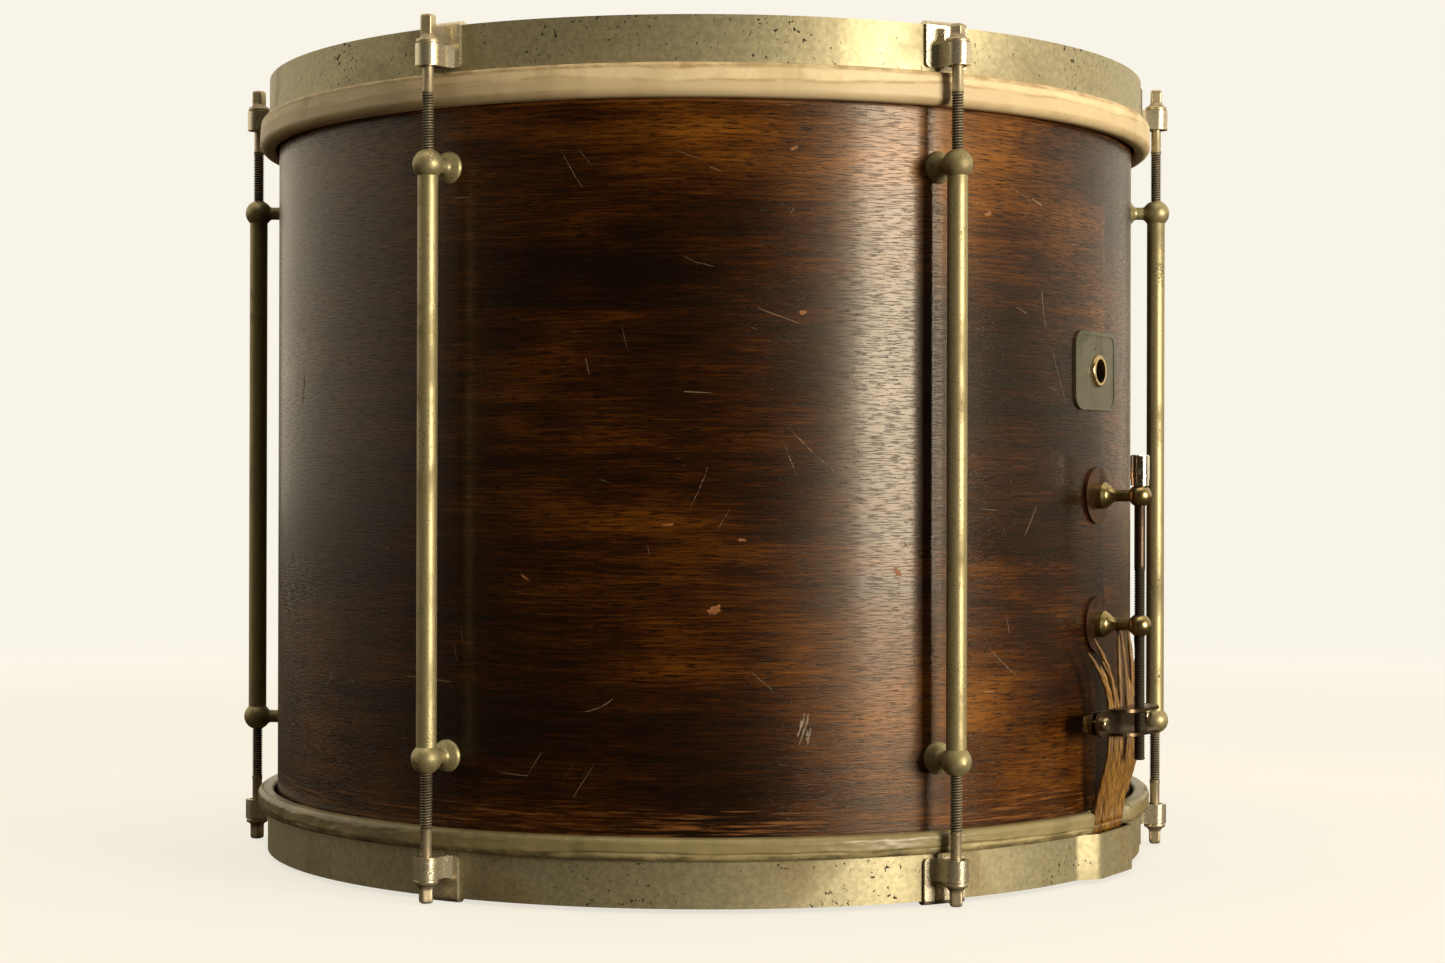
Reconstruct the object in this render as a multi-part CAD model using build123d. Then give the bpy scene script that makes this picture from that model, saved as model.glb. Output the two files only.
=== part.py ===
"""Field snare drum: wooden shell, two tucked heads, strap hoops with claws, six tube lugs and a gut snare.

Millimetres, +Z up.  The origin lies on the drum's axis, on the plane of the lips of the six bottom claws,
which is the plane that the drum stands on.  Azimuths are counted from the front (-Y) towards +X.
Every piece is first made about the shell's mid-plane and then lifted so that the claws stand on z = 0.
"""
from build123d import *
import os
from math import acos, atan2, cos, degrees, hypot, sin, sqrt, tan

# ---- Shell -------------------------------------------------------------------------------------------
SHELL_DIAMETER = 381.0          # outside
SHELL_DEPTH = 304.8             # between the two bearing edges
SHELL_WALL = 5.5
BEARING_ROUND = 3.5             # rounding of the outer corner of each bearing edge
RING_HEIGHT = 30.0              # reinforcement rings glued inside the shell's ends
RING_THICKNESS = 6.0

# ---- Heads and flesh hoops ---------------------------------------------------------------------------
SKIN = 0.5                      # thickness of the calfskin
TUCK_DROP = 2.6                 # how far the flesh hoop's outer face lies inside the plane of the head
FLESH_GAP = 1.0                 # between the shell and the skin lapped round the flesh hoop
FLESH_WIDTH = 7.3               # radial width of a lapped flesh hoop, skin included
BATTER_FLESH_HEIGHT = 13.0      # skin included
SNARE_FLESH_HEIGHT = 8.6
TUCK_OPENING = 1.6              # the skin's edge ends this far short of the flesh hoop's outer face

# ---- Strap hoops and claws ---------------------------------------------------------------------------
HOOP_OVERHANG = 2.6             # inside face of the strap hoop beyond the shell's surface
HOOP_THICKNESS = 1.6
HOOP_HEIGHT = 18.3
CLAW_SHEET = 1.5
CLAW_WIDTH = 18.5
CLAW_START = 1.7                # the claw begins this far from the hoop's inner edge
CLAW_HOOK_DEPTH = 5.0           # how far the lip reaches down inside the hoop
CLAW_CORNER = 1.8
CLAW_GUSSET = 2.0               # flare where the eye leaves the plate
EYE_RADIUS = 5.1
EYE_HEIGHT = 8.5
EYE_WALL = 1.6

# ---- Snare gates in the bottom hoop -------------------------------------------------------------------
GATE_DEPTH = 5.5                # how far the bump stands out of the hoop
GATE_FLAT = 34.0                # width of the bump's flat top
GATE_FOOT = 54.0                # width of the bump where it leaves the hoop
GATE_ROUND = 6.0
GATE_SINK = 1.0                 # the bump's foot begins this far inside the hoop
NOTCH_CLEARANCE = 2.5           # each side of the gut, in the lower flesh hoop
NOTCH_WEB = 2.2                 # radial thickness left at the notch, skin included

# ---- Tube lugs ---------------------------------------------------------------------------------------
LUG_COUNT = 6
FIRST_LUG_AZIMUTH = -91.3
LUG_STANDOFF = 13.0             # tube's axis from the shell's surface
BALL_INSET = 38.05              # ball's centre inside the shell's bearing edge
BALL_DIAMETER = 11.9
TUBE_DIAMETER = 7.94
POST_BASE_DIAMETER = 12.8
POST_BASE_RIM = 0.9
POST_DOME = 2.4
POST_NECK_DIAMETER = 5.6
POST_FILLET = 1.6

# ---- Tension rods ------------------------------------------------------------------------------------
THREAD_DIAMETER = 4.83
SHANK_DIAMETER = 4.4
SHANK_LENGTH = 9.6              # plain stretch on the drum's side of the claw's eye
ROD_REACH = 60.0                # from the eye to the end of the rod inside the tube
COLLAR_DIAMETER = 9.6
COLLAR_THICKNESS = 2.0
FLARE_HEIGHT = 1.6
KEY_SQUARE = 4.75               # across the flats of the square head
KEY_LENGTH = 7.7
KEY_EDGE = 0.45
ROD_POINT = 0.5                 # chamfer at the end of a rod
COLLAR_EDGE = 0.25
FLARE_FOOT = 4.03               # radius of the flare on the collar
FLARE_TIP = 2.61
TOP_KEY_EXTRA = (0.0, 2.0, -2.0, 0.0, 0.0, 0.0)      # unlike heads of replaced rods
TOP_KEY_TURN = (70.0, 8.0, 29.0, 0.0, 20.0, 50.0)
BOTTOM_KEY_TURN = (30.0, 10.0, 60.0, 5.0, 45.0, 75.0)

# ---- Mounting screws behind the posts ----------------------------------------------------------------
MOUNT_SCREW_DIAMETER = 3.5
MOUNT_SCREW_DEPTH = 5.0         # thread in the post
MOUNT_HEAD_DIAMETER = 8.0
MOUNT_HEAD_HEIGHT = 2.6
MOUNT_SLOT = 1.0
HEAD_ROUND_SHARE = 0.45         # rounding of a screw's head, as a share of its height
SLOT_DEPTH_SHARE = 0.45
WASHER_DIAMETER = 12.0
WASHER_THICKNESS = 1.0

# ---- Badge and vent ----------------------------------------------------------------------------------
BADGE_RISE = 51.5               # badge's middle above the upper strainer post
BADGE_WIDTH = 41.0
BADGE_TALL = 32.4
BADGE_CORNER = 6.0
BADGE_THICKNESS = 0.7
BADGE_BORDER = 1.7
BADGE_BORDER_RISE = 0.3
VENT_DIAMETER = 10.0
GROMMET_WALL = 0.6
GROMMET_FLANGE_DIAMETER = 13.5
GROMMET_FLANGE_RISE = 1.3
GROMMET_ROUND = 0.78

# ---- Strainer ----------------------------------------------------------------------------------------
STRAINER_STANDOFF = 19.3        # strainer rod's axis from the shell's surface
CLAMP_RISE = 47.6               # clamp's middle above the shell's lower bearing edge
CLAMP_DROP = 38.9               # clamp's middle below the lower post's axis
STRAINER_POST_SPACING = 53.2
ROSETTE_DIAMETER = 23.5
ROSETTE_THICKNESS = 1.2
STRAINER_BASE_DIAMETER = 11.0
STRAINER_NECK_DIAMETER = 4.9
STRAINER_NECK_START = 10.8
STRAINER_RIM = 4.2              # straight part of the base
STRAINER_SHOULDER_DIAMETER = 8.6
STRAINER_SHOULDER = 5.9         # where the base turns into the waist
STRAINER_WAIST_DIAMETER = 5.7
STRAINER_WAIST = 7.9
STRAINER_BALL_DIAMETER = 9.5
STRAINER_ROD_DIAMETER = 4.6
CAP_DIAMETER = 7.8
CAP_HEIGHT = 10.0
CAP_EDGE = 0.5
CAP_BORE = 6.0                  # how far the rod reaches up the cap
CAP_WASHER_DIAMETER = 7.4
CAP_WASHER_THICKNESS = 2.6

# ---- Snare clamp on the strainer rod, and the gut -----------------------------------------------------
CLAMP_HEIGHT = 10.9
CLAMP_SHEET = 1.3
CLAMP_OFFSET = -2.75            # middle of the two clamp screws, along the shell
CLAMP_SCREW_SPACING = 45.3
CLAMP_WEB_INSET = 5.2           # outer face of the web, inside the rod's axis
FLANGE_OVERHANG = 4.4           # flange beyond the rod's axis
FLANGE_WIDTH = 34.0
FLANGE_CORNER_SHARE = 0.8       # of the flange's depth
JAW_THICKNESS = 2.0
JAW_HEIGHT_SHARE = 0.85
CLAMP_SCREW_DIAMETER = 3.2
CLAMP_HEAD_DIAMETER = 5.6
CLAMP_HEAD_HEIGHT = 2.0
CLAMP_SLOT = 0.8
CLAMP_SLOT_TURNS = (10.0, 60.0)
CLAMP_NUT = 6.2
CLAMP_NUT_THICKNESS = 2.2
CLAMP_SCREW_TAIL = 0.8
ROD_TAIL = 10.8                 # strainer rod below the clamp
GUT_THICKNESS = 1.8
GUT_WIDTH = 33.0
GUT_OFFSET = 1.5
GUT_FREE_END = 24.0             # ends of the strands above the clamp
GUT_STRAIGHT = 3.0              # straight stretch below the clamp
GUT_BEND = 5.0                  # radius of the gut's centre line round the bearing edge
GUT_FILLET = 4.5                # rounding of the gut's route
GATE_CLEARANCE = 0.6            # gut to the notched flesh hoop

# ---- Butt plate opposite the strainer -----------------------------------------------------------------
BUTT_RISE = 34.4                # butt's middle above the shell's lower bearing edge
BUTT_HEIGHT = 14.0
BUTT_WIDTH = 58.0
BUTT_PLATE_THICKNESS = 1.5
BUTT_PLATE_CORNER = 4.6
BUTT_JAW_HEIGHT = 11.2
BUTT_JAW_CORNER = 4.2
BUTT_SLOT_TURNS = (-30.0, 30.0)
BUTT_JAW_THICKNESS = 2.0
BUTT_SCREW_SPACING = 46.0
BUTT_GUT_END = 6.0

# ---- Fits --------------------------------------------------------------------------------------------
RUNNING_FIT = 0.05              # radial, threads and pivots
SEAT_FIT = 0.02                 # radial, pieces seated in each other
SCREW_HOLE_FIT = 0.15           # radial, plain holes for screws
SQUEEZE_FIT = 0.05              # each side of the gut where it is held

# ---- Places that follow from the sizes ----------------------------------------------------------------
SHELL_R = SHELL_DIAMETER / 2
INNER_R = SHELL_R - SHELL_WALL
HALF = SHELL_DEPTH / 2
HOOP_BASE = HALF + SKIN - TUCK_DROP
HOOP_TIP = HOOP_BASE + HOOP_HEIGHT
STAND = HOOP_TIP + CLAW_SHEET
HOOP_R = SHELL_R + HOOP_OVERHANG + HOOP_THICKNESS
LUG_R = SHELL_R + LUG_STANDOFF
BALL_Z = HALF - BALL_INSET
EYE_BASE = HOOP_BASE + CLAW_START
EYE_TOP = EYE_BASE + EYE_HEIGHT
LUG_STEP = 360.0 / LUG_COUNT
LUG_AZIMUTHS = [FIRST_LUG_AZIMUTH + k * LUG_STEP for k in range(LUG_COUNT)]
GATE_AZIMUTH = FIRST_LUG_AZIMUTH + 2.5 * LUG_STEP
BUTT_AZIMUTH = GATE_AZIMUTH + 180.0
FLESH_R = SHELL_R + FLESH_GAP
FLESH_OUTER_R = FLESH_R + FLESH_WIDTH
STRAINER_R = SHELL_R + STRAINER_STANDOFF
CLAMP_Z = CLAMP_RISE - HALF
LOWER_POST_Z = CLAMP_Z + CLAMP_DROP
UPPER_POST_Z = LOWER_POST_Z + STRAINER_POST_SPACING
BADGE_Z = UPPER_POST_Z + BADGE_RISE
BUTT_Z = BUTT_RISE - HALF
WEB_R = STRAINER_R - CLAMP_WEB_INSET
GUT_CLAMP_R = WEB_R - CLAMP_SHEET - SQUEEZE_FIT - GUT_THICKNESS / 2
JAW_R = GUT_CLAMP_R - GUT_THICKNESS / 2 - SQUEEZE_FIT
GUT_UNDER_Z = -(HALF + SKIN + SQUEEZE_FIT + GUT_THICKNESS / 2)
GUT_EDGE_R = FLESH_R + NOTCH_WEB + GATE_CLEARANCE + GUT_THICKNESS / 2
BUTT_GUT_R = SHELL_R + BUTT_PLATE_THICKNESS + SQUEEZE_FIT + GUT_THICKNESS / 2
BIG = 4 * SHELL_DIAMETER


# ---- Helpers -----------------------------------------------------------------------------------------
def turned(azimuth, piece):
    """A piece made at the front, turned about the drum's axis to its azimuth."""
    return Rot(0, 0, azimuth) * piece


def outward(radius, height):
    """A frame at the front with local X along the shell, local Y up and local Z pointing outward."""
    return Plane(origin=(0, -radius, height), x_dir=(1, 0, 0), z_dir=(0, -1, 0)).location


def band(outer, inner, low, high):
    """A plain ring about the drum's axis."""
    return Pos(0, 0, low) * extrude(Circle(outer) - Circle(inner), high - low)


def peg(radius, length):
    """A cylinder that starts on its frame's plane and runs along local Z."""
    return extrude(Circle(radius), length)


def upright(radius, distance, low, high):
    """An upright cylinder at the front, at a distance from the drum's axis."""
    return Pos(0, -distance, low) * peg(radius, high - low)


def core(radius):
    """Everything nearer the drum's axis than a radius, between the bearing edges."""
    return Pos(0, 0, -HALF) * peg(radius, SHELL_DEPTH)


def lathe(points):
    """A solid turned about local Z from (radius, height) points."""
    return revolve(make_face(Plane.XZ * Polyline(*points, close=True)), Axis.Z)


def slotted_head(radius, height, slot):
    """A domed screw head with a slot, on its frame's plane."""
    head = fillet(peg(radius, height).edges().sort_by(Axis.Z)[-1], HEAD_ROUND_SHARE * height)
    return head - Pos(0, 0, height) * Box(3 * radius, slot, 2 * SLOT_DEPTH_SHARE * height)


def save(name, piece):
    """Write one piece, lifted onto the standing plane."""
    export_step(Pos(0, 0, STAND) * piece, os.path.join("parts", name + ".step"))


# ---- Shell and rings ---------------------------------------------------------------------------------
def make_shell():
    """The wooden cylinder with its bearing edges and every drilled hole."""
    wall = Pos(INNER_R + SHELL_WALL / 2, 0) * Rectangle(SHELL_WALL, SHELL_DEPTH)
    wall = fillet(wall.vertices().group_by(Axis.X)[-1], BEARING_ROUND)
    shell = revolve(Plane.XZ * wall, Axis.Z)
    screw_hole = peg(MOUNT_SCREW_DIAMETER / 2 + SCREW_HOLE_FIT, 4 * SHELL_WALL)
    deep = INNER_R - SHELL_WALL
    for azimuth in LUG_AZIMUTHS:
        for height in (BALL_Z, -BALL_Z):
            shell -= turned(azimuth, outward(deep, height) * screw_hole)
    for height in (UPPER_POST_Z, LOWER_POST_Z):
        shell -= turned(GATE_AZIMUTH, outward(deep, height) * screw_hole)
    vent = peg(VENT_DIAMETER / 2 + GROMMET_WALL + SEAT_FIT, 4 * SHELL_WALL)
    shell -= turned(GATE_AZIMUTH, outward(deep, BADGE_Z) * vent)
    butt_hole = peg(CLAMP_SCREW_DIAMETER / 2 + SEAT_FIT, 4 * SHELL_WALL)
    for side in (-0.5, 0.5):
        place = outward(deep, BUTT_Z) * Pos(side * BUTT_SCREW_SPACING, 0, 0)
        shell -= turned(BUTT_AZIMUTH, place * butt_hole)
    return shell


def make_reinforcement_ring():
    """The ring glued inside the upper end; the lower one is its mirror image."""
    return band(INNER_R, INNER_R - RING_THICKNESS, HALF - RING_HEIGHT, HALF)


# ---- Heads and flesh hoops ---------------------------------------------------------------------------
def flesh_section(height):
    """Low and high corners (radius, height) of the wooden flesh hoop inside its skin."""
    low = (FLESH_R + SKIN, HOOP_BASE - height + SKIN)
    high = (FLESH_OUTER_R - SKIN, HOOP_BASE - SKIN)
    return low, high


def make_flesh_hoop(height):
    """The wooden ring that the skin is lapped round."""
    (inner, low), (outer, high) = flesh_section(height)
    return band(outer - SEAT_FIT, inner + SEAT_FIT, low + SEAT_FIT, high - SEAT_FIT)


def leaving_radius(clear, level, touch, height):
    """Where a face of the skin leaves the head's level to pass the rounded edge, down to the flesh hoop."""
    centre_r, centre_z = SHELL_R - BEARING_ROUND, HALF - BEARING_ROUND
    along, up = touch - centre_r, height - centre_z
    angle = atan2(up, along) + acos(clear / hypot(along, up))
    edge_r, edge_z = centre_r + clear * cos(angle), centre_z + clear * sin(angle)
    return edge_r - (level - edge_z) * tan(angle)


def make_head(height):
    """One skin: the playing disc, and the lap that goes over, down, under and up inside the flesh hoop."""
    (inner, low), (outer, high) = flesh_section(height)
    touch = inner + SKIN
    clear = BEARING_ROUND + SEAT_FIT
    points = [
        (0, HALF + SKIN),
        (leaving_radius(clear + SKIN, HALF + SKIN, touch, HOOP_BASE), HALF + SKIN),
        (touch, HOOP_BASE),
        (outer + SKIN, HOOP_BASE),
        (outer + SKIN, low - SKIN),
        (inner - SKIN, low - SKIN),
        (inner - SKIN, HOOP_BASE - TUCK_OPENING),
        (inner, HOOP_BASE - TUCK_OPENING),
        (inner, low),
        (outer, low),
        (outer, high),
        (touch - SKIN / 2, high),
        (leaving_radius(clear, HALF, touch - SKIN / 2, high), HALF),
        (0, HALF),
    ]
    return lathe(points)


def notch_tool():
    """The two blocks that clear the gut in the lower flesh hoop, made about the gate at the front."""
    width = GUT_WIDTH + 2 * NOTCH_CLEARANCE
    block = Box(width, HOOP_OVERHANG + 2 * FLESH_WIDTH, 2 * HOOP_TIP,
                align=(Align.CENTER, Align.MAX, Align.CENTER))
    cut = Pos(GUT_OFFSET, -(FLESH_R + NOTCH_WEB), 0) * block
    return cut + Rot(0, 0, 180) * Pos(-2 * GUT_OFFSET, 0, 0) * cut


# ---- Hoops and claws ---------------------------------------------------------------------------------
def make_top_hoop():
    """The plain strap hoop."""
    return band(HOOP_R, HOOP_R - HOOP_THICKNESS, HOOP_BASE, HOOP_TIP)


def make_bottom_hoop():
    """The strap hoop with a bump over the gut at the strainer and at the butt."""
    foot = sqrt(HOOP_R ** 2 - (GATE_FOOT / 2) ** 2) - GATE_SINK
    top = HOOP_R + GATE_DEPTH
    corners = [
        (-GATE_FOOT / 2, -foot),
        (-GATE_FLAT / 2, -top),
        (GATE_FLAT / 2, -top),
        (GATE_FOOT / 2, -foot),
    ]
    bump = make_face(Polyline(*corners, close=True))
    outline = Circle(HOOP_R) + bump + Rot(0, 0, 180) * bump
    outline = fillet(outline.vertices(), GATE_ROUND)
    strap = outline - offset(outline, -HOOP_THICKNESS)
    return turned(GATE_AZIMUTH, Pos(0, 0, -HOOP_TIP) * extrude(strap, HOOP_HEIGHT))


def make_claw():
    """One top claw at the front: a hooked plate over the hoop's edge with an eye bent out for the rod."""
    face = HOOP_R + CLAW_SHEET
    back = HOOP_R - HOOP_THICKNESS
    hook = [
        (HOOP_R, EYE_BASE),
        (face, EYE_BASE),
        (face, STAND),
        (back - CLAW_SHEET, STAND),
        (back - CLAW_SHEET, HOOP_TIP - CLAW_HOOK_DEPTH),
        (back, HOOP_TIP - CLAW_HOOK_DEPTH),
        (back, HOOP_TIP),
        (HOOP_R, HOOP_TIP),
    ]
    section = make_face(Polyline(*hook, close=True))
    bends = [v for v in section.vertices() if v.Y > HOOP_TIP + CLAW_SHEET / 2]
    section = fillet(bends, CLAW_CORNER)
    sweep_angle = degrees(2 * CLAW_WIDTH / HOOP_R)
    plate = Rot(0, 0, -90 - sweep_angle / 2) * revolve(Plane.XZ * section, Axis.Z, sweep_angle)
    blank = RectangleRounded(CLAW_WIDTH, 2 * (STAND - EYE_BASE), CLAW_CORNER)
    trim = outward(0, STAND) * extrude(blank, BIG)
    plate = plate & trim
    arm = LUG_R - face
    ahead = (Align.CENTER, Align.MIN)
    hollow_r = EYE_RADIUS - EYE_WALL
    outer = Circle(EYE_RADIUS) + Rectangle(2 * EYE_RADIUS, arm + CLAW_SHEET / 2, align=ahead)
    inner = Circle(hollow_r) + Rectangle(2 * hollow_r, arm + CLAW_SHEET, align=ahead)
    eye = Pos(0, -LUG_R, EYE_BASE) * extrude(outer - inner, EYE_HEIGHT)
    claw = plate + eye
    roots = [e for e in claw.edges().filter_by(Axis.Z)
             if abs(abs(e.center().X) - EYE_RADIUS) < 0.01 and abs(e.center().Y + face) < 0.2]
    return chamfer(roots, CLAW_GUSSET)


# ---- Lugs and rods -----------------------------------------------------------------------------------
def make_lug_tube():
    """The long tube between the two ball posts, at the front."""
    bore = THREAD_DIAMETER / 2 + RUNNING_FIT
    tube = upright(TUBE_DIAMETER / 2, LUG_R, -BALL_Z, BALL_Z)
    return tube - upright(bore, LUG_R, -HALF, HALF)


def make_lug_post():
    """The upper ball post at the front: domed base on the shell, short neck and ball."""
    neck = POST_NECK_DIAMETER / 2
    profile = [
        (0, -SHELL_WALL / 2),
        (POST_BASE_DIAMETER / 2, -SHELL_WALL / 2),
        (POST_BASE_DIAMETER / 2, POST_BASE_RIM),
        (neck, POST_BASE_RIM + POST_DOME),
        (neck, LUG_STANDOFF),
        (0, LUG_STANDOFF),
    ]
    face = make_face(Plane.XZ * Polyline(*profile, close=True))
    post = revolve(face, Axis.Z)
    post += Pos(0, 0, LUG_STANDOFF) * Sphere(BALL_DIAMETER / 2)
    joins = [e for e in post.edges().filter_by(GeomType.CIRCLE) if abs(e.radius - neck) < 0.01]
    post = fillet(joins, POST_FILLET)
    rims = [e for e in post.edges().filter_by(GeomType.CIRCLE)
            if abs(e.radius - POST_BASE_DIAMETER / 2) < 0.01 and e.center().Z > 0]
    post = fillet(rims, POST_FILLET)
    post = outward(SHELL_R, BALL_Z) * post
    post -= core(SHELL_R)
    post -= outward(SHELL_R - 1, BALL_Z) * peg(MOUNT_SCREW_DIAMETER / 2 + SEAT_FIT, MOUNT_SCREW_DEPTH + 1)
    post -= upright(TUBE_DIAMETER / 2 + SEAT_FIT, LUG_R, 0, BALL_Z)
    return post - upright(THREAD_DIAMETER / 2 + RUNNING_FIT, LUG_R, 0, HALF)


def make_tension_rod(key_length, turn):
    """One upper tension rod at the front: thread, plain shank, collar, flare and square head."""
    end = EYE_BASE - ROD_REACH
    rod = upright(THREAD_DIAMETER / 2, LUG_R, end, EYE_BASE - SHANK_LENGTH)
    rod = chamfer(rod.edges().sort_by(Axis.Z)[0], ROD_POINT)
    rod += upright(SHANK_DIAMETER / 2, LUG_R, EYE_BASE - SHANK_LENGTH, EYE_TOP)
    collar = upright(COLLAR_DIAMETER / 2, LUG_R, EYE_TOP, EYE_TOP + COLLAR_THICKNESS)
    collar = chamfer(collar.edges().filter_by(GeomType.CIRCLE), COLLAR_EDGE)
    flare = Pos(0, -LUG_R, EYE_TOP + COLLAR_THICKNESS) * Cone(
        FLARE_FOOT, FLARE_TIP, FLARE_HEIGHT, align=(Align.CENTER, Align.CENTER, Align.MIN))
    key = extrude(Rectangle(KEY_SQUARE, KEY_SQUARE), COLLAR_THICKNESS / 2 + key_length)
    key = chamfer(key.edges(), KEY_EDGE)
    key = Pos(0, -LUG_R, EYE_TOP + COLLAR_THICKNESS / 2) * Rot(0, 0, turn) * key
    return rod + collar + flare + key


def make_mount_screws_and_washers():
    """Slotted screws from inside the shell into the lug posts and strainer posts, with their washers."""
    seat = INNER_R - WASHER_THICKNESS
    reach = SHELL_R - seat + MOUNT_SCREW_DEPTH
    screw = peg(MOUNT_SCREW_DIAMETER / 2, reach)
    screw += Rot(180, 0, 0) * slotted_head(MOUNT_HEAD_DIAMETER / 2, MOUNT_HEAD_HEIGHT, MOUNT_SLOT)
    blank = peg(WASHER_DIAMETER / 2, 2 * SHELL_WALL)
    blank -= peg(MOUNT_SCREW_DIAMETER / 2 + SCREW_HOLE_FIT, 2 * SHELL_WALL)
    leaf = band(INNER_R, seat, -HALF, HALF)
    places = [(a, z) for a in LUG_AZIMUTHS for z in (BALL_Z, -BALL_Z)]
    places += [(GATE_AZIMUTH, UPPER_POST_Z), (GATE_AZIMUTH, LOWER_POST_Z)]
    drop = MOUNT_HEAD_DIAMETER ** 2 / (8 * seat) + SEAT_FIT
    screws = [turned(a, outward(seat - drop, z) * screw) for a, z in places]
    washers = [turned(a, leaf & (outward(seat - SHELL_WALL, z) * blank)) for a, z in places]
    return Compound(children=screws), Compound(children=washers)


# ---- Badge and vent ----------------------------------------------------------------------------------
def make_badge():
    """A thin plate bent to the shell, with a raised border and a hole for the grommet."""
    low = BADGE_Z - BADGE_TALL
    high = BADGE_Z + BADGE_TALL
    place = outward(0, BADGE_Z)
    blank = RectangleRounded(BADGE_WIDTH, BADGE_TALL, BADGE_CORNER)
    window = RectangleRounded(BADGE_WIDTH - 2 * BADGE_BORDER, BADGE_TALL - 2 * BADGE_BORDER,
                              BADGE_CORNER - BADGE_BORDER)
    face = SHELL_R + BADGE_THICKNESS
    plate = band(face, SHELL_R, low, high) & (place * extrude(blank, BIG))
    border = band(face + BADGE_BORDER_RISE, face - BADGE_THICKNESS / 2, low, high)
    badge = plate + (border & (place * extrude(blank - window, BIG)))
    hole = peg(VENT_DIAMETER / 2 + GROMMET_WALL + SEAT_FIT, BIG)
    return turned(GATE_AZIMUTH, badge - place * hole)


def make_vent_grommet():
    """The eyelet through badge and shell: rolled flange outside, small flange inside."""
    bore = VENT_DIAMETER / 2
    sleeve = bore + GROMMET_WALL
    flange = GROMMET_FLANGE_DIAMETER / 2
    outer = SHELL_R + BADGE_THICKNESS + SEAT_FIT
    inner = INNER_R - flange ** 2 / (2 * INNER_R) - SEAT_FIT
    body = peg(flange, GROMMET_FLANGE_RISE)
    body = fillet(body.edges().sort_by(Axis.Z)[-1], GROMMET_ROUND)
    body = outward(outer, 0) * body
    body += outward(inner, 0) * peg(sleeve, outer - inner)
    body += outward(inner - GROMMET_WALL, 0) * peg(flange, GROMMET_WALL)
    body -= outward(inner - SHELL_WALL, 0) * peg(bore, 4 * SHELL_WALL)
    return turned(GATE_AZIMUTH, Pos(0, 0, BADGE_Z) * body)


# ---- Strainer ----------------------------------------------------------------------------------------
def make_strainer_rosette(height):
    """A round washer bent to the shell, under one strainer post."""
    disc = peg(ROSETTE_DIAMETER / 2, BIG) - peg(MOUNT_SCREW_DIAMETER / 2 + SCREW_HOLE_FIT, BIG)
    leaf = band(SHELL_R + ROSETTE_THICKNESS, SHELL_R, height - ROSETTE_DIAMETER, height + ROSETTE_DIAMETER)
    return turned(GATE_AZIMUTH, leaf & (outward(0, height) * disc))


def make_strainer_post(height):
    """A turned post: cylindrical base, waisted neck and a ball drilled for the strainer rod."""
    base = STRAINER_BASE_DIAMETER / 2
    neck = STRAINER_NECK_DIAMETER / 2
    shoulder = (STRAINER_SHOULDER_DIAMETER / 2, STRAINER_SHOULDER)
    waist = (STRAINER_WAIST_DIAMETER / 2, STRAINER_WAIST)
    outline = Polyline((0, -SHELL_WALL / 2), (base, -SHELL_WALL / 2), (base, STRAINER_RIM))
    outline += Line((base, STRAINER_RIM), shoulder)
    outline += ThreePointArc(shoulder, waist, (neck, STRAINER_NECK_START))
    outline += Polyline((neck, STRAINER_NECK_START), (neck, STRAINER_STANDOFF), (0, STRAINER_STANDOFF))
    outline += Line((0, STRAINER_STANDOFF), (0, -SHELL_WALL / 2))
    post = revolve(Plane.XZ * make_face(outline), Axis.Z)
    post += Pos(0, 0, STRAINER_STANDOFF) * Sphere(STRAINER_BALL_DIAMETER / 2)
    post = outward(SHELL_R, height) * post
    post -= core(SHELL_R + ROSETTE_THICKNESS)
    drill = peg(MOUNT_SCREW_DIAMETER / 2 + SEAT_FIT, MOUNT_SCREW_DEPTH + 1)
    post -= outward(SHELL_R - 1, height) * drill
    post -= upright(STRAINER_ROD_DIAMETER / 2 + RUNNING_FIT, STRAINER_R, -HALF, HALF)
    return turned(GATE_AZIMUTH, post)


def strainer_cap_base():
    """Height of the cap's washer, resting on the rim of the hole in the upper ball."""
    hole = STRAINER_ROD_DIAMETER / 2 + RUNNING_FIT
    return UPPER_POST_Z + sqrt((STRAINER_BALL_DIAMETER / 2) ** 2 - hole ** 2)


def make_strainer_rod():
    """The long screw that draws the clamp up and down."""
    bottom = CLAMP_Z - CLAMP_HEIGHT / 2 - ROD_TAIL
    top = strainer_cap_base() + CAP_WASHER_THICKNESS + CAP_BORE
    rod = upright(STRAINER_ROD_DIAMETER / 2, STRAINER_R, bottom, top)
    rod = chamfer(rod.edges().sort_by(Axis.Z)[0], ROD_POINT)
    return turned(GATE_AZIMUTH, rod)


def make_strainer_cap():
    """The turning cap on the screw's upper end and the washer below it."""
    base = strainer_cap_base()
    hole = upright(STRAINER_ROD_DIAMETER / 2 + SEAT_FIT, STRAINER_R, base - 1,
                   base + CAP_WASHER_THICKNESS + CAP_BORE + SEAT_FIT)
    cap = upright(CAP_DIAMETER / 2, STRAINER_R, base + CAP_WASHER_THICKNESS,
                  base + CAP_WASHER_THICKNESS + CAP_HEIGHT)
    cap = chamfer(cap.edges().sort_by(Axis.Z)[-1], CAP_EDGE) - hole
    washer = upright(CAP_WASHER_DIAMETER / 2, STRAINER_R, base, base + CAP_WASHER_THICKNESS) - hole
    return turned(GATE_AZIMUTH, Compound(children=[cap, washer]))


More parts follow.
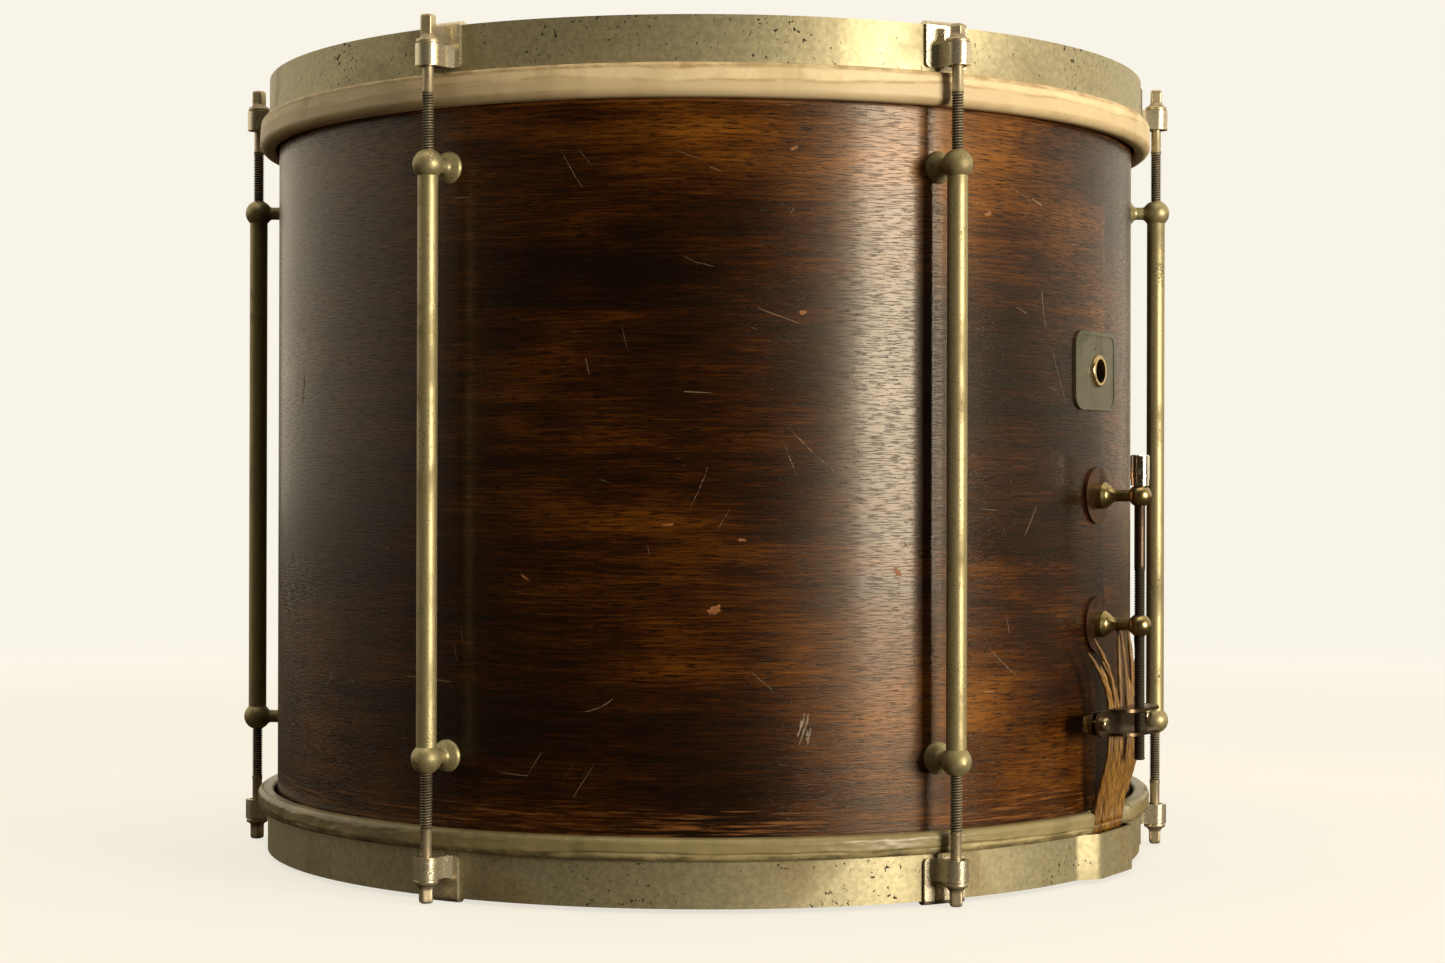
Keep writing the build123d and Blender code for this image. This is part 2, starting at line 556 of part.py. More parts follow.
# ---- Clamp -------------------------------------------------------------------------------------------
def clamp_bar(thickness, outer_radius, height):
    """A flat bar with round ends across the gut, drilled for the two clamp screws."""
    bar = SlotCenterToCenter(CLAMP_SCREW_SPACING, height)
    for side in (-0.5, 0.5):
        bar -= Pos(side * CLAMP_SCREW_SPACING, 0) * Circle(CLAMP_SCREW_DIAMETER / 2 + SCREW_HOLE_FIT)
    return outward(outer_radius - thickness, CLAMP_Z) * Pos(CLAMP_OFFSET, 0, 0) * extrude(bar, thickness)


def make_clamp_channel():
    """The front of the clamp: a bar with two rounded flanges that the strainer rod screws through."""
    channel = clamp_bar(CLAMP_SHEET, WEB_R, CLAMP_HEIGHT)
    reach = CLAMP_WEB_INSET + FLANGE_OVERHANG + CLAMP_SHEET / 2
    lobe = Rectangle(FLANGE_WIDTH, reach, align=(Align.CENTER, Align.MAX))
    lobe = fillet(lobe.vertices().group_by(Axis.Y)[0], FLANGE_CORNER_SHARE * reach)
    flange = extrude(lobe, CLAMP_SHEET)
    for low in (CLAMP_Z - CLAMP_HEIGHT / 2, CLAMP_Z + CLAMP_HEIGHT / 2 - CLAMP_SHEET):
        channel += Pos(0, -(WEB_R - CLAMP_SHEET / 2), low) * flange
    channel -= upright(STRAINER_ROD_DIAMETER / 2 + RUNNING_FIT, STRAINER_R, -HALF, 0)
    return turned(GATE_AZIMUTH, channel)


def make_clamp_jaw():
    """The rear bar that presses the gut against the channel."""
    return turned(GATE_AZIMUTH, clamp_bar(JAW_THICKNESS, JAW_R, JAW_HEIGHT_SHARE * CLAMP_HEIGHT))


def make_clamp_screws():
    """Two slotted screws from the front, each with a square nut behind the jaw."""
    back = JAW_R - JAW_THICKNESS - CLAMP_NUT_THICKNESS
    tail = back - CLAMP_SCREW_TAIL
    pieces = []
    for side, turn in zip((-0.5, 0.5), CLAMP_SLOT_TURNS):
        along = CLAMP_OFFSET + side * CLAMP_SCREW_SPACING
        screw = outward(tail, CLAMP_Z) * Pos(along, 0, 0) * peg(CLAMP_SCREW_DIAMETER / 2, WEB_R - tail)
        head = slotted_head(CLAMP_HEAD_DIAMETER / 2, CLAMP_HEAD_HEIGHT, CLAMP_SLOT)
        screw += outward(WEB_R, CLAMP_Z) * Pos(along, 0, 0) * Rot(0, 0, turn) * head
        nut = Rectangle(CLAMP_NUT, CLAMP_NUT) - Circle(CLAMP_SCREW_DIAMETER / 2 + SEAT_FIT)
        nut = outward(back, CLAMP_Z) * Pos(along, 0, 0) * extrude(nut, CLAMP_NUT_THICKNESS)
        pieces += [turned(GATE_AZIMUTH, screw), turned(GATE_AZIMUTH, nut)]
    return Compound(children=pieces)


# ---- Gut and butt ------------------------------------------------------------------------------------
def make_gut_snares():
    """The gut strands as one ribbon: clamp, gate, across under the snare head, far gate and butt."""
    top = CLAMP_Z + CLAMP_HEIGHT / 2 + GUT_FREE_END
    below = CLAMP_Z - CLAMP_HEIGHT / 2 - GUT_STRAIGHT
    butt_top = BUTT_Z + BUTT_HEIGHT / 2 + BUTT_GUT_END
    butt_below = BUTT_Z - BUTT_HEIGHT / 2 - GUT_STRAIGHT
    gate = -(HALF - GUT_BEND)
    far_gate = -(HOOP_BASE - SNARE_FLESH_HEIGHT - GUT_BEND / 2)
    route = FilletPolyline(
        (0, -GUT_CLAMP_R, top),
        (0, -GUT_CLAMP_R, below),
        (0, -GUT_EDGE_R, gate),
        (0, -GUT_EDGE_R, GUT_UNDER_Z),
        (0, GUT_EDGE_R, GUT_UNDER_Z),
        (0, GUT_EDGE_R, far_gate),
        (0, BUTT_GUT_R, butt_below),
        (0, BUTT_GUT_R, butt_top),
        radius=GUT_FILLET,
    )
    start = Plane(origin=(0, -GUT_CLAMP_R, top), x_dir=(1, 0, 0), z_dir=(0, 0, -1))
    ribbon = sweep(start * Rectangle(GUT_WIDTH, GUT_THICKNESS), path=route)
    return turned(GATE_AZIMUTH, Pos(GUT_OFFSET, 0, 0) * ribbon)


def make_butt_plate():
    """The plate on the shell that the gut lies on at its fixed end."""
    blank = RectangleRounded(BUTT_WIDTH, BUTT_HEIGHT, BUTT_PLATE_CORNER)
    for side in (-0.5, 0.5):
        blank -= Pos(side * BUTT_SCREW_SPACING, 0) * Circle(CLAMP_SCREW_DIAMETER / 2 + SCREW_HOLE_FIT)
    leaf = band(SHELL_R + BUTT_PLATE_THICKNESS, SHELL_R, BUTT_Z - BUTT_HEIGHT, BUTT_Z + BUTT_HEIGHT)
    return turned(BUTT_AZIMUTH, leaf & (outward(0, BUTT_Z) * extrude(blank, BIG)))


def make_butt_jaw():
    """The bar screwed down over the gut at its fixed end."""
    bar = RectangleRounded(BUTT_WIDTH, BUTT_JAW_HEIGHT, BUTT_JAW_CORNER)
    for side in (-0.5, 0.5):
        bar -= Pos(side * BUTT_SCREW_SPACING, 0) * Circle(CLAMP_SCREW_DIAMETER / 2 + SCREW_HOLE_FIT)
    base = BUTT_GUT_R + GUT_THICKNESS / 2 + SQUEEZE_FIT
    return turned(BUTT_AZIMUTH, outward(base, BUTT_Z) * extrude(bar, BUTT_JAW_THICKNESS))


def make_butt_screws():
    """The two screws that hold the butt jaw and plate to the shell."""
    face = BUTT_GUT_R + GUT_THICKNESS / 2 + SQUEEZE_FIT + BUTT_JAW_THICKNESS
    tip = INNER_R - 1.0
    pieces = []
    for side, turn in zip((-0.5, 0.5), BUTT_SLOT_TURNS):
        along = side * BUTT_SCREW_SPACING
        screw = outward(tip, BUTT_Z) * Pos(along, 0, 0) * peg(CLAMP_SCREW_DIAMETER / 2, face - tip)
        head = slotted_head(CLAMP_HEAD_DIAMETER / 2, CLAMP_HEAD_HEIGHT, CLAMP_SLOT)
        screw += outward(face, BUTT_Z) * Pos(along, 0, 0) * Rot(0, 0, turn) * head
        pieces.append(turned(BUTT_AZIMUTH, screw))
    return Compound(children=pieces)


# ---- Build -------------------------------------------------------------------------------------------
def build():
    """Make every piece and write it to its own file."""
    os.makedirs("parts", exist_ok=True)
    save("shell", make_shell())
    ring = make_reinforcement_ring()
    save("reinforcement_ring_top", ring)
    save("reinforcement_ring_bottom", mirror(ring, about=Plane.XY))

    save("batter_head", make_head(BATTER_FLESH_HEIGHT))
    save("batter_flesh_hoop", make_flesh_hoop(BATTER_FLESH_HEIGHT))
    notch = turned(GATE_AZIMUTH, notch_tool())
    save("snare_head", mirror(make_head(SNARE_FLESH_HEIGHT), about=Plane.XY) - notch)
    save("snare_flesh_hoop", mirror(make_flesh_hoop(SNARE_FLESH_HEIGHT), about=Plane.XY) - notch)

    save("top_hoop", make_top_hoop())
    save("bottom_hoop", make_bottom_hoop())
    claw = make_claw()
    low_claw = mirror(claw, about=Plane.XY)
    tube = make_lug_tube()
    post = make_lug_post()
    low_post = mirror(post, about=Plane.XY)
    for k, azimuth in enumerate(LUG_AZIMUTHS):
        number = str(k + 1)
        save("lug_tube_" + number, turned(azimuth, tube))
        save("lug_posts_" + number, turned(azimuth, Compound(children=[post, low_post])))
        save("top_claw_" + number, turned(azimuth, claw))
        save("bottom_claw_" + number, turned(azimuth, low_claw))
        upper = make_tension_rod(KEY_LENGTH + TOP_KEY_EXTRA[k], TOP_KEY_TURN[k])
        lower = make_tension_rod(KEY_LENGTH - SKIN / 2, BOTTOM_KEY_TURN[k])
        save("top_rod_" + number, turned(azimuth, upper))
        save("bottom_rod_" + number, turned(azimuth, mirror(lower, about=Plane.XY)))
    screws, washers = make_mount_screws_and_washers()
    save("mounting_screws", screws)
    save("mounting_washers", washers)

    save("badge", make_badge())
    save("vent_grommet", make_vent_grommet())

    heights = (UPPER_POST_Z, LOWER_POST_Z)
    save("strainer_rosettes", Compound(children=[make_strainer_rosette(z) for z in heights]))
    save("strainer_posts", Compound(children=[make_strainer_post(z) for z in heights]))
    save("strainer_rod", make_strainer_rod())
    save("strainer_cap", make_strainer_cap())
    save("clamp_channel", make_clamp_channel())
    save("clamp_jaw", make_clamp_jaw())
    save("clamp_screws", make_clamp_screws())
    save("gut_snares", make_gut_snares())
    save("butt_plate", make_butt_plate())
    save("butt_jaw", make_butt_jaw())
    save("butt_screws", make_butt_screws())


build()
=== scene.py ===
"""Looks of a field snare drum: every finish, the skins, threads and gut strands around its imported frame.

Metres, in the frame's own axes: the drum stands on z = 0 about the z axis, and azimuths are counted from
the front (-Y) towards +X.
"""
import logging
import math
import random
from dataclasses import dataclass, field
from enum import Enum
from typing import Callable, Sequence

import bpy
import numpy as np
from mathutils import Matrix, Vector, noise


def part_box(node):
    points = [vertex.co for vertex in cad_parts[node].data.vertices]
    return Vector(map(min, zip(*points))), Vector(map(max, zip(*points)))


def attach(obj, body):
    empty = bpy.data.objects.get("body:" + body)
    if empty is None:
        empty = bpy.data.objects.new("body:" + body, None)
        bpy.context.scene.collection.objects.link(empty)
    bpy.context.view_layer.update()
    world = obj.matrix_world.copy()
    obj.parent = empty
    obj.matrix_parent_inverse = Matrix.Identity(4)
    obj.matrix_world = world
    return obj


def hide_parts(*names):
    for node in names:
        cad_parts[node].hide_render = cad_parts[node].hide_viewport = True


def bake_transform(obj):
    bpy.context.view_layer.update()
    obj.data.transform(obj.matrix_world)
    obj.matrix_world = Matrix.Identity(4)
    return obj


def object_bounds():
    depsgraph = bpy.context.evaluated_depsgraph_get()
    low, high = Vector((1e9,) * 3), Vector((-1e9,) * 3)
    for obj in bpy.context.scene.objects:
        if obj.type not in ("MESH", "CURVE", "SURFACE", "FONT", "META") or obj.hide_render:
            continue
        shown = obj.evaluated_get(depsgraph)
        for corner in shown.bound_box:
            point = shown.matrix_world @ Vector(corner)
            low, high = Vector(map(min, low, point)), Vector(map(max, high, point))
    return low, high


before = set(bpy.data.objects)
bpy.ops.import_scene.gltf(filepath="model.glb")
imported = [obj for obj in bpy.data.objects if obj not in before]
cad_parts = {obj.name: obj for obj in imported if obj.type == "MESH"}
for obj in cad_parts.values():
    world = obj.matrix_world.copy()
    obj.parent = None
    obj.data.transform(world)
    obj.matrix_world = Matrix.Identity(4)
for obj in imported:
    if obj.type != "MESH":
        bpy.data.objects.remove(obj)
CAD_LOW, CAD_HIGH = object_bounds()
LOG = logging.getLogger("drum")
MM = 0.001
LUG_NUMBERS = range(1, 7)
SHELL_LOW, SHELL_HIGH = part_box("shell")
SHELL_R = (SHELL_HIGH.x - SHELL_LOW.x) / 2
MID_HEIGHT = (SHELL_HIGH.z + SHELL_LOW.z) / 2
FIRST_LUG_AZIMUTH = math.radians(-91.3)
GATE_AZIMUTH = math.radians(58.7)
SEAM_AZIMUTH = math.radians(61.5)

Colour = tuple[float, float, float]
Span = tuple[float, float]
Socket = bpy.types.NodeSocket
Value = object          # a socket, or a plain number or tuple for its default
BLACK: Colour = (0.0, 0.0, 0.0)


# ---- Node helpers ------------------------------------------------------------------------------------
@dataclass(frozen=True)
class Pattern:
    """A noise: its features per metre, its octaves, their strength, its distortion and its stretch."""

    scale: float = 1.0
    detail: float = 3.0
    rough: float = 0.5
    warp: float = 0.0
    factors: tuple[float, float, float] | None = None


class Graph:
    """A node tree with short calls that add and join its nodes."""

    def __init__(self, tree: bpy.types.NodeTree) -> None:
        """Keep the tree that the calls write to."""
        self.tree = tree

    def feed(self, socket: Socket, value: Value) -> None:
        """Join a value to an input socket, or set it as the socket's own number.

        Args:
            socket: the input to feed.
            value: another node's output socket, or a number, tuple or colour.
        """
        if isinstance(value, bpy.types.NodeSocket):
            self.tree.links.new(value, socket)
        elif socket.type == "RGBA" and len(value) == 3:
            socket.default_value = (*value, 1.0)
        else:
            socket.default_value = value

    def node(self, kind: str, inputs: dict | None = None, **settings: object) -> bpy.types.Node:
        """Add one node.

        Args:
            kind: Blender's name of the node type.
            inputs: values by input name or number.
            settings: the node's own options.
        Returns:
            The new node.
        """
        made = self.tree.nodes.new(kind)
        for name, value in settings.items():
            setattr(made, name, value)
        for key, value in (inputs or {}).items():
            self.feed(made.inputs[key], value)
        return made

    def math(self, operation: str, a: Value, b: Value = 0.0, c: Value = 0.0, clamp: bool = False) -> Socket:
        """Add a Math node and return its output.

        Args:
            operation: Blender's name of the operation.
            a: first value.
            b: second value.
            c: third value, where the operation has one.
            clamp: keep the result between 0 and 1.
        Returns:
            The result's socket.
        """
        inputs = {0: a, 1: b, 2: c}
        return self.node("ShaderNodeMath", inputs, operation=operation, use_clamp=clamp).outputs[0]

    def plus(self, a: Value, b: Value, clamp: bool = False) -> Socket:
        """The sum of two values."""
        return self.math("ADD", a, b, clamp=clamp)

    def minus(self, a: Value, b: Value, clamp: bool = False) -> Socket:
        """The first value less the second."""
        return self.math("SUBTRACT", a, b, clamp=clamp)

    def times(self, a: Value, b: Value, clamp: bool = False) -> Socket:
        """The product of two values."""
        return self.math("MULTIPLY", a, b, clamp=clamp)

    def larger(self, a: Value, b: Value, clamp: bool = False) -> Socket:
        """The larger of two values."""
        return self.math("MAXIMUM", a, b, clamp=clamp)

    def sway(self, value: Value, gain: Value) -> Socket:
        """How far a value lies from its middle, a half, times a gain."""
        return self.times(self.minus(value, 0.5), gain)

    def remap(
            self, value: Value, low: float, high: float, to_low: float = 0.0, to_high: float = 1.0
    ) -> Socket:
        """Map low..high onto to_low..to_high with a smooth step.

        Args:
            value: what is mapped.
            low: value that gives to_low.
            high: value that gives to_high.
            to_low: result at low.
            to_high: result at high.
        Returns:
            The mapped value's socket.
        """
        sockets = {"Value": value, "From Min": low, "From Max": high, "To Min": to_low, "To Max": to_high}
        return self.node("ShaderNodeMapRange", sockets, interpolation_type="SMOOTHSTEP").outputs[0]

    def mix(self, factor: Value, a: Value, b: Value, blend: str = "MIX") -> Socket:
        """Mix two colours and return the result's socket.

        Args:
            factor: share of the second colour.
            a: first colour.
            b: second colour.
            blend: Blender's name of the blending mode.
        Returns:
            The mixed colour's socket.
        """
        made = self.node("ShaderNodeMix", data_type="RGBA", blend_type=blend)
        self.feed(made.inputs[0], factor)
        self.feed(made.inputs[6], a)
        self.feed(made.inputs[7], b)
        return made.outputs[2]

    def shaded(self, colour: Value, grey: Value) -> Socket:
        """A colour made lighter or darker by a grey."""
        return self.mix(1.0, colour, self.combine(grey, grey, grey), "MULTIPLY")

    def ramp(self, value: Value, stops: Sequence[tuple[float, Colour]]) -> Socket:
        """Turn a value into a colour through a ramp of stops.

        Args:
            value: the place on the ramp.
            stops: positions with their colours, lowest first.
        Returns:
            The colour's socket.
        """
        made = self.node("ShaderNodeValToRGB", {0: value})
        elements = made.color_ramp.elements
        while len(elements) < len(stops):
            elements.new(0.5)
        for element, (place, colour) in zip(elements, stops):
            element.position = place
            element.color = (*colour, 1.0)
        return made.outputs[0]

    def noise(self, vector: Value, pattern: Pattern, scale: Value = None) -> Socket:
        """Add a noise texture and return its value.

        Args:
            vector: where it is read.
            pattern: the noise's settings.
            scale: features per metre, where they differ from the pattern's own.
        Returns:
            The noise value's socket.
        """
        if pattern.factors:
            vector = self.stretch(vector, pattern.factors)
        sockets = {
            "Vector": vector, "Scale": pattern.scale if scale is None else scale, "Detail": pattern.detail,
            "Roughness": pattern.rough, "Distortion": pattern.warp}
        return self.node("ShaderNodeTexNoise", sockets).outputs[0]

    def stretch(self, vector: Value, factors: Value) -> Socket:
        """Multiply a vector by three factors and return it."""
        return self.node("ShaderNodeVectorMath", {0: vector, 1: factors}, operation="MULTIPLY").outputs[0]

    def shift(self, vector: Value, amount: Value) -> Socket:
        """Add two vectors and return the sum."""
        return self.node("ShaderNodeVectorMath", {0: vector, 1: amount}, operation="ADD").outputs[0]

    def combine(self, x: Value, y: Value, z: Value) -> Socket:
        """Join three values into a vector."""
        return self.node("ShaderNodeCombineXYZ", {0: x, 1: y, 2: z}).outputs[0]

    def separate(self, vector: Value) -> list[Socket]:
        """Split a vector into its three values."""
        return list(self.node("ShaderNodeSeparateXYZ", {0: vector}).outputs)

    def place(self) -> Socket:
        """The point on the piece, in metres."""
        return self.node("ShaderNodeTexCoord").outputs["Object"]

    def attribute(self, name: str) -> Socket:
        """A value kept on the mesh's own points."""
        return self.node("ShaderNodeAttribute", attribute_name=name).outputs["Fac"]

    def bump(self, height: Value, strength: float, distance: float, normal: Value = None) -> Socket:
        """Turn a height into a normal.

        Args:
            height: value from 0 to 1.
            strength: how much of the relief shows.
            distance: height of the relief in metres.
            normal: another relief that this one lies on.
        Returns:
            The normal's socket.
        """
        made = self.node("ShaderNodeBump", {"Strength": strength, "Distance": distance, "Height": height})
        if normal is not None:
            self.feed(made.inputs["Normal"], normal)
        return made.outputs[0]


class SocketKind(Enum):
    """The kinds of socket that an effect's group has."""

    NUMBER = "NodeSocketFloat"
    VECTOR = "NodeSocketVector"


@dataclass(frozen=True)
class Effect:
    """A shader node group that is built once and placed in many materials."""

    name: str
    takes: tuple[tuple[str, SocketKind, float], ...]
    gives: tuple[tuple[str, SocketKind], ...]
    recipe: Callable[[Graph, dict], dict]

    def group(self) -> bpy.types.NodeTree:
        """The node group, built at its first use.

        Returns:
            The group's tree.
        """
        found = bpy.data.node_groups.get(self.name)
        if found:
            return found
        tree = bpy.data.node_groups.new(self.name, "ShaderNodeTree")
        for label, kind, start in self.takes:
            socket = tree.interface.new_socket(label, in_out="INPUT", socket_type=kind.value)
            if kind is SocketKind.NUMBER:
                socket.default_value = start
        for label, kind in self.gives:
            tree.interface.new_socket(label, in_out="OUTPUT", socket_type=kind.value)
        graph = Graph(tree)
        inlet = graph.node("NodeGroupInput")
        outlet = graph.node("NodeGroupOutput")
        results = self.recipe(graph, {label: inlet.outputs[label] for label, _, _ in self.takes})
        for label, socket in results.items():
            graph.feed(outlet.inputs[label], socket)
        return tree

    def place(self, graph: Graph, **values: Value) -> bpy.types.NodeOutputs:
        """Place the group in a material.

        Args:
            graph: the material's graph.
            values: input values, with underscores for spaces in the labels.
        Returns:
            The placed group's outputs.
        """
        made = graph.node("ShaderNodeGroup", node_tree=self.group())
        for key, value in values.items():
            graph.feed(made.inputs[key.replace("_", " ")], value)
        return made.outputs


# ---- Effects -----------------------------------------------------------------------------------------
GRAIN_DRIFT = Pattern(detail=2.0, factors=(7.0, 16.0, 1.0))
GRAIN_FIGURE = Pattern(detail=4.0, rough=0.6, warp=0.6, factors=(5.0, 19.0, 1.0))
GRAIN_BANDS = Pattern(detail=5.0, rough=0.62, warp=0.3, factors=(9.0, 150.0, 1.0))
GRAIN_STREAKS = Pattern(detail=6.0, rough=0.76, factors=(42.0, 900.0, 1.0))
GRAIN_PORES = Pattern(detail=3.0, rough=0.6, factors=(140.0, 1900.0, 1.0))
FIGURE_SHARE, BAND_SHARE = 0.62, 0.38
PORE_SPAN = (0.51, 0.62)

SCRATCH_LINES = Pattern(detail=1.0, rough=0.4, factors=(22.0, 1150.0, 1.0))
SCRATCH_PATCHES = Pattern(detail=2.0, factors=(30.0, 60.0, 1.0))
SCRATCH_SPAN = (0.735, 0.775)
PATCH_LEVEL, PATCH_REACH = 0.72, 0.3

TARNISH_CLOUDS = Pattern(detail=5.0, rough=0.54, warp=0.5)
TARNISH_SPECKLE = Pattern(detail=4.0, rough=0.7)
TARNISH_HOLES = Pattern(detail=2.0)
TARNISH_CROWDS = Pattern(detail=3.0, rough=0.6)
SPECKLES_PER_CLOUD = 30.0
CROWDS_PER_PIT = 0.05
CLOUD_LEVEL, CLOUD_REACH, CLOUD_EDGE = 0.68, 0.34, 3.6
PIT_LEVEL, PIT_CROWDING, PIT_EDGE = 0.93, 0.52, 14.0

HIDE_MOTTLE = Pattern(26.0, 5.0, 0.6, 0.7)
HIDE_WARP = Pattern(60.0, 3.0, 0.6)
HIDE_BREAKS = Pattern(95.0, 3.0, 0.6)
HIDE_FIBRE = Pattern(1400.0, 4.0, 0.7)
VEIN_BEND = (0.016, 0.016, 0.016)
VEIN_CELLS = 70.0
VEIN_SPAN = (0.085, 0.0)
BREAK_SPAN = (0.45, 0.66)


def wrap_recipe(graph: Graph, given: dict) -> dict:
    """Unroll the drum's wall: arc length from the seam, height, and distance from the axis.

    Args:
        graph: the group's graph.
        given: the group's input sockets.
    Returns:
        The group's results by name.
    """
    x, y, z = graph.separate(given["Point"])
    azimuth = graph.math("ARCTAN2", x, graph.times(y, -1.0))
    turned = graph.math("WRAP", graph.minus(azimuth, given["Seam"]), 2 * math.pi, 0.0)
    radius = graph.math("SQRT", graph.plus(graph.times(x, x), graph.times(y, y)))
    return {
        "Wrapped": graph.combine(graph.times(turned, SHELL_R), z, 0.0),
        "Radius": radius,
        "Height": z,
    }


def grain_recipe(graph: Graph, given: dict) -> dict:
    """Long figure, fine streaks and short open pores, all running along the first axis.

    Args:
        graph: the group's graph.
        given: the group's input sockets.
    Returns:
        The group's results by name.
    """
    point = given["Wrapped"]
    lift = graph.sway(graph.noise(point, GRAIN_DRIFT), given["Waviness"])
    bent = graph.shift(point, graph.combine(0.0, lift, 0.0))
    broad = graph.noise(bent, GRAIN_FIGURE)
    bands = graph.noise(bent, GRAIN_BANDS)
    return {
        "Figure": graph.plus(graph.times(broad, FIGURE_SHARE), graph.times(bands, BAND_SHARE)),
        "Streaks": graph.noise(bent, GRAIN_STREAKS),
        "Pores": graph.remap(graph.noise(bent, GRAIN_PORES), *PORE_SPAN),
    }


def scratch_recipe(graph: Graph, given: dict) -> dict:
    """Sparse fine lines that all lean one way, broken up along their length.

    Args:
        graph: the group's graph.
        given: the group's input sockets.
    Returns:
        The group's results by name.
    """
    spin = graph.node("ShaderNodeVectorRotate", {"Vector": given["Wrapped"], "Angle": given["Lean"]})
    lines = graph.shift(spin.outputs[0], graph.combine(given["Seed"], given["Seed"], 0.0))
    line = graph.remap(graph.noise(lines, SCRATCH_LINES), *SCRATCH_SPAN)
    level = graph.minus(PATCH_LEVEL, graph.times(given["Amount"], PATCH_REACH))
    patch = graph.math("GREATER_THAN", graph.noise(lines, SCRATCH_PATCHES), level)
    return {"Mask": graph.times(line, patch)}


def tarnish_recipe(graph: Graph, given: dict) -> dict:
    """Cloudy staining, fine speckle and small dark pits on old plating.

    Args:
        graph: the group's graph.
        given: the group's input sockets.
    Returns:
        The group's results by name.
    """
    point = graph.shift(given["Point"], graph.combine(given["Seed"], given["Seed"], given["Seed"]))
    cloud = graph.noise(point, TARNISH_CLOUDS, given["Scale"])
    speckle = graph.noise(point, TARNISH_SPECKLE, graph.times(given["Scale"], SPECKLES_PER_CLOUD))
    cloud_level = graph.minus(CLOUD_LEVEL, graph.times(given["Amount"], CLOUD_REACH))
    blotch = graph.times(graph.minus(cloud, cloud_level), CLOUD_EDGE, clamp=True)
    holes = graph.noise(point, TARNISH_HOLES, given["Pit Scale"])
    crowd = graph.noise(point, TARNISH_CROWDS, graph.times(given["Pit Scale"], CROWDS_PER_PIT))
    pit_level = graph.minus(PIT_LEVEL, graph.times(crowd, PIT_CROWDING))
    pits = graph.times(graph.minus(holes, pit_level), PIT_EDGE, clamp=True)
    return {"Blotch": blotch, "Speckle": speckle, "Pits": graph.times(pits, given["Pitting"])}


def skin_recipe(graph: Graph, given: dict) -> dict:
    """Calfskin: soft mottling, dark branching veins and the fine fibre of the hide.

    Args:
        graph: the group's graph.
        given: the group's input sockets.
    Returns:
        The group's results by name.
    """
    point = given["Point"]
    warp = graph.noise(point, HIDE_WARP)
    bent = graph.shift(point, graph.stretch(graph.combine(warp, warp, warp), VEIN_BEND))
    sockets = {"Vector": bent, "Scale": VEIN_CELLS}
    cells = graph.node("ShaderNodeTexVoronoi", sockets, feature="DISTANCE_TO_EDGE")
    lines = graph.remap(cells.outputs["Distance"], *VEIN_SPAN)
    veins = graph.times(lines, graph.remap(graph.noise(point, HIDE_BREAKS), *BREAK_SPAN))
    mottle = graph.noise(point, HIDE_MOTTLE)
    return {"Mottle": mottle, "Veins": veins, "Fibre": graph.noise(point, HIDE_FIBRE)}


NUMBER, VECTOR = SocketKind.NUMBER, SocketKind.VECTOR
WRAP = Effect(
    "unrolled_wall", (("Point", VECTOR, 0.0), ("Seam", NUMBER, 0.0)),
    (("Wrapped", VECTOR), ("Radius", NUMBER), ("Height", NUMBER)), wrap_recipe)
GRAIN = Effect(
    "wood_grain", (("Wrapped", VECTOR, 0.0), ("Waviness", NUMBER, 0.004)),
    (("Figure", NUMBER), ("Streaks", NUMBER), ("Pores", NUMBER)), grain_recipe)
SCRATCHES = Effect(
    "fine_scratches",
    (("Wrapped", VECTOR, 0.0), ("Lean", NUMBER, 0.0), ("Amount", NUMBER, 0.5), ("Seed", NUMBER, 0.0)),
    (("Mask", NUMBER),), scratch_recipe)
TARNISH = Effect(
    "tarnish",
    (("Point", VECTOR, 0.0), ("Scale", NUMBER, 40.0), ("Amount", NUMBER, 0.5), ("Pitting", NUMBER, 1.0),
     ("Pit Scale", NUMBER, 700.0), ("Seed", NUMBER, 0.0)),
    (("Blotch", NUMBER), ("Speckle", NUMBER), ("Pits", NUMBER)), tarnish_recipe)
SKIN = Effect(
    "calfskin_figure", (("Point", VECTOR, 0.0),),
    (("Mottle", NUMBER), ("Veins", NUMBER), ("Fibre", NUMBER)), skin_recipe)


# ---- Finishes ----------------------------------------------------------------------------------------
class Finish:
    """A surface treatment that makes its material once and puts it on pieces."""

    name: str

    def paint(self, graph: Graph, surface: bpy.types.Node) -> None:
        """Join the finish's nodes to the surface shader; each finish has its own."""
        raise NotImplementedError

    def material(self) -> bpy.types.Material:
        """The finish's material, built at its first use.

        Returns:
            The material.
        """
        label = self.name + "_finish"
        found = bpy.data.materials.get(label)
        if found:
            return found
        made = bpy.data.materials.new(label)
        made.use_nodes = True
        made.node_tree.nodes.clear()
        graph = Graph(made.node_tree)
        surface = graph.node("ShaderNodeBsdfPrincipled")
        output = graph.node("ShaderNodeOutputMaterial")
        graph.feed(output.inputs[0], surface.outputs[0])
        self.paint(graph, surface)
        return made

    def dress(self, piece: bpy.types.Object) -> None:
        """Give a piece this finish alone."""
        piece.data.materials.clear()
        piece.data.materials.append(self.material())

    def dress_nodes(self, *names: str) -> None:
        """Give carried-over frame nodes this finish."""
        for name in names:
            self.dress(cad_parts[name])


